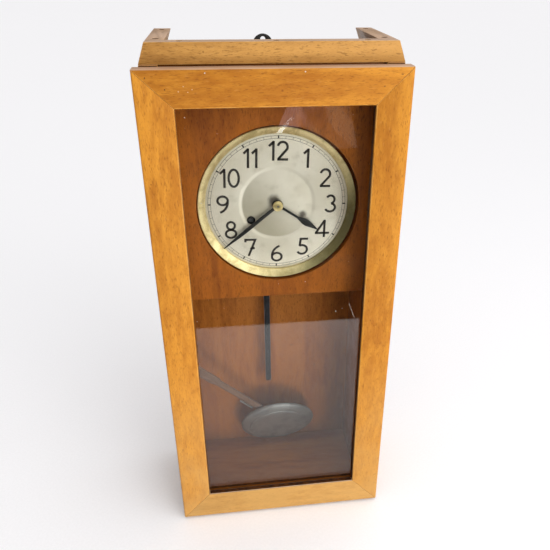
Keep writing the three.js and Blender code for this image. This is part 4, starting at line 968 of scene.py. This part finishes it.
def build_marks(paint, chip, dark):
    """Old paint on the glass, and chips, paint and filled nail holes on the door's face."""
    draw = random.Random(SEED)
    low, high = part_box("door_glass")
    on_glass = gathered(draw, 3, part_way(low, high, 0.85, 0.53), 5, (0.5, 0.8))
    on_glass += strewn(draw, 5, low, high, (0.5, 0.6))
    on_glass += strewn(draw, 70, low, high, (0.12, 0.32))
    on_glass += scratch(part_way(low, high, *SCRATCH_START))

    rail_low, rail_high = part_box("door_rail_top")
    top = rail_high.z / MM
    edge = rail_high.x / MM
    chips = gathered(draw, 4, part_way(rail_low, rail_high, 0.17, 0.45), 5, (0.6, 0.9))
    specks = [
        (part_way(rail_low, rail_high, across, 1)[0], top - EDGE_CLEAR, 0.9)
        for across in (0.25, 0.6)
    ]
    nails = [
        (side * (edge - inset), top - drop, 0.8)
        for side in (-1, 1) for inset, drop in ((14, 8), (33, 20))
    ]
    glass_y = low.y / MM - BLOT_RISE
    face_y = rail_low.y / MM
    for name, spots, y, material in (
        ("glass_specks", on_glass, glass_y, paint),
        ("door_chips", chips, face_y, chip),
        ("door_paint_specks", specks, face_y, paint),
        ("door_nail_holes", nails, face_y, dark),
    ):
        bm = bmesh.new()
        for x, z, radius in spots:
            blot(bm, x, y, z, radius, draw)
        piece(name, bm, [material], "door", crease=180)


# ---- Studio --------------------------------------------------------------------------------

FLOOR_SIZE = 40.0
DARK_FLOOR_Y = -0.60  # in front of this line the room is dark, as the door's glass shows


def flat(name, corners, material):
    mesh = bpy.data.meshes.new(name)
    mesh.from_pydata(corners, [], [tuple(range(len(corners)))])
    mesh.materials.append(material)
    made = bpy.data.objects.new(name, mesh)
    bpy.context.scene.collection.objects.link(made)
    return made


ROOM_REFLECTIONS = [
    # what the door's glass mirrors of the room: colour and strength, then in metres the distance in
    # front of the clock, the offset to the right, the width, the length and the slant
    ("wood_reflection", "b49a80", 1.1, 2.5, 0.5, 0.25, 0.9, 0.15),
    ("pink_reflection", "c4a8ae", 1.5, 2.7, 0.4, 0.25, 0.5, 0.1),
    ("white_reflection", "ffffff", 6.0, 2.5, 0.27, 0.025, 0.3, 0.1),
]
DARK_CARD_LIFT = 0.0008  # metres over the floor
GLOW_LIFT = 0.0012


def slanted(distance, offset, width, length, slant, z):
    """A card's corners: its far end is shifted to the right of its near end."""
    near, far = length / 2 - distance, -length / 2 - distance
    left, right = offset - width / 2, offset + width / 2
    shift = slant / 2
    return [
        (left - shift, near, z), (right - shift, near, z),
        (right + shift, far, z), (left + shift, far, z),
    ]


def build_stage():
    half = FLOOR_SIZE / 2
    flat("floor", [(-half, -half, 0), (half, -half, 0), (half, half, 0), (-half, half, 0)],
         paper("floor_paper", rgb("f6f5f6")))
    y, z = DARK_FLOOR_Y, DARK_CARD_LIFT
    corners = [(-6, y, z), (-6, -14, z), (4, -14, z), (0.3, y, z)]
    for_mirrors_only(flat("dark_room_card", corners, paper("room_dark", rgb("0a0908"))))
    for name, code, power, *shape in ROOM_REFLECTIONS:
        corners = slanted(*shape, GLOW_LIFT)
        for_mirrors_only(flat(name, corners, glowing(name, rgb(code), power)))


def for_mirrors_only(card):
    card.visible_camera = False
    card.visible_diffuse = False
    card.visible_shadow = False
    card.visible_transmission = False


def area_light(name, place_at, target, size, power, colour):
    data = bpy.data.lights.new(name, "AREA")
    data.shape = "SQUARE"
    data.size = size
    data.energy = power
    data.color = colour
    made = bpy.data.objects.new(name, data)
    bpy.context.scene.collection.objects.link(made)
    made.location = place_at
    made.rotation_mode = "QUATERNION"
    made.rotation_quaternion = (Vector(target) - Vector(place_at)).to_track_quat("-Z", "Y")
    return made


def daylight(name, source, strength, spread):
    """Soft light with no falloff, from the direction of source, spread over an angle in degrees."""
    data = bpy.data.lights.new(name, "SUN")
    data.energy = strength
    data.angle = math.radians(spread)
    made = bpy.data.objects.new(name, data)
    bpy.context.scene.collection.objects.link(made)
    made.rotation_mode = "QUATERNION"
    made.rotation_quaternion = Vector(source).to_track_quat("Z", "Y")
    return made


WHITE = (1.0, 1.0, 1.0)
SKY_BASE = 0.18
SKY_SLOPES = (0.58, -0.32, 1.12)  # how much brighter the room is to the right, in front and above
SKY_LEAST = 0.05
BACKDROP = 0.95  # brightness of the wall that the camera sees


def build_light():
    window = area_light("window", (1.45, -1.4, 0.95), (0, 0, 0.45), 1.4, 12, WHITE)
    window.visible_glossy = False
    low_fill = area_light("low_fill", (0.27, -1.0, 0.12), (0, 0, 0.49), 0.22, 4.6, WHITE)
    low_fill.visible_glossy = False
    daylight("daylight", (0.38, -0.88, 0.27), 0.98, 50).visible_glossy = False
    daylight("mirrored_window", (0.72, -0.67, 0.12), 1.0, 58).visible_diffuse = False
    world = bpy.data.worlds.new("studio")
    bpy.context.scene.world = world
    world.use_nodes = True
    tree = world.node_tree
    sky = tree.nodes["Background"]
    way = put(tree, "SeparateXYZ", {0: put(tree, "TexCoord").outputs["Generated"]}).outputs
    strength = SKY_BASE
    for part, slope in zip(way, SKY_SLOPES):
        strength = maths(tree, "ADD", strength, maths(tree, "MULTIPLY", part, slope))
    strength = maths(tree, "MAXIMUM", strength, SKY_LEAST)
    seen = put(tree, "LightPath").outputs["Is Camera Ray"]
    tree.links.new(mixed(tree, seen, (0.99, 0.99, 1.0, 1), (1, 1, 1, 1)), sky.inputs["Color"])
    chosen = put(tree, "Mix", {0: seen, 2: strength, 3: BACKDROP}, data_type="FLOAT").outputs[0]
    tree.links.new(chosen, sky.inputs["Strength"])
    bpy.context.scene.view_settings.view_transform = "Standard"


# ---- Build ---------------------------------------------------------------------------------

make_camera()
build_wood()

BRASS = metal("clock_brass", "f8e3a6", "b3985c", 0.32, 0.45)
# painted shade: the bezel's right side, towards four o'clock, is darkened to olive brown
BEZEL_BRASS = metal("bezel_brass", "fae6ae", "b3985c", 0.32, 0.5, painted_shade_way=(0.92, 0, -0.39))
GEAR_BRASS = metal("gear_brass", "c9a552", "7d6232", 0.34, 0.5)
OLD_BRASS = metal("plate_brass", "ab9350", "6b5730", 0.42, 0.6, scale=35)
STEEL = metal("bright_steel", "a9abae", "6a6a68", 0.32, 0.4)
BLUED = metal("blued_steel", "33363c", "241f1c", 0.38, 0.5, metallic=0.85)
BLACK = metal("black_enamel", "1a1918", "2c2825", 0.36, 0.5, metallic=0.1)
ZINC = metal("bob_zinc", "a6a6a5", "747371", 0.42, 0.5, metallic=0.85, scale=28)

build_dial(silvered(), printed())
build_bezel(BEZEL_BRASS, BLUED)
build_hands(BLACK, BRASS, STEEL)
build_pendulum(ZINC, STEEL, BLUED)
build_screws(STEEL, OLD_BRASS)
build_marks(
    plain("old_paint", "d8d4cc", 0.6, "b5aea2"),
    plain("bare_chip", "d9bd95", 0.7, "c9a274"),
    plain("nail_hole", "2a170c", 0.8, "4a2c14"),
)
softened("hanger_plate", 0.3 * MM, [BLACK, STEEL])

dress(pane(), "door_glass")
dress(BLACK, "winding_grommet")
dress(
    GEAR_BRASS, "mainspring_barrel", "centre_wheel", "third_wheel", "escape_wheel", "minute_wheel",
    "hour_wheel", "cannon_pinion", "suspension_cock", "rating_nut", "catch_stud", "catch_clip",
)
dress(
    OLD_BRASS, "movement_front_plate", "movement_back_plate", "movement_bracket_left",
    "movement_bracket_right", "hinge_case_leaf_1", "hinge_case_leaf_2", "hinge_door_leaf_1",
    "hinge_door_leaf_2",
)
dress(
    STEEL, "winding_arbor", "ratchet_wheel", "click", "click_screw", "centre_arbor", "third_arbor",
    "escape_arbor", "verge_and_crutch",
)
dress(BLUED, "mainspring", "suspension_spring")

build_stage()
build_light()
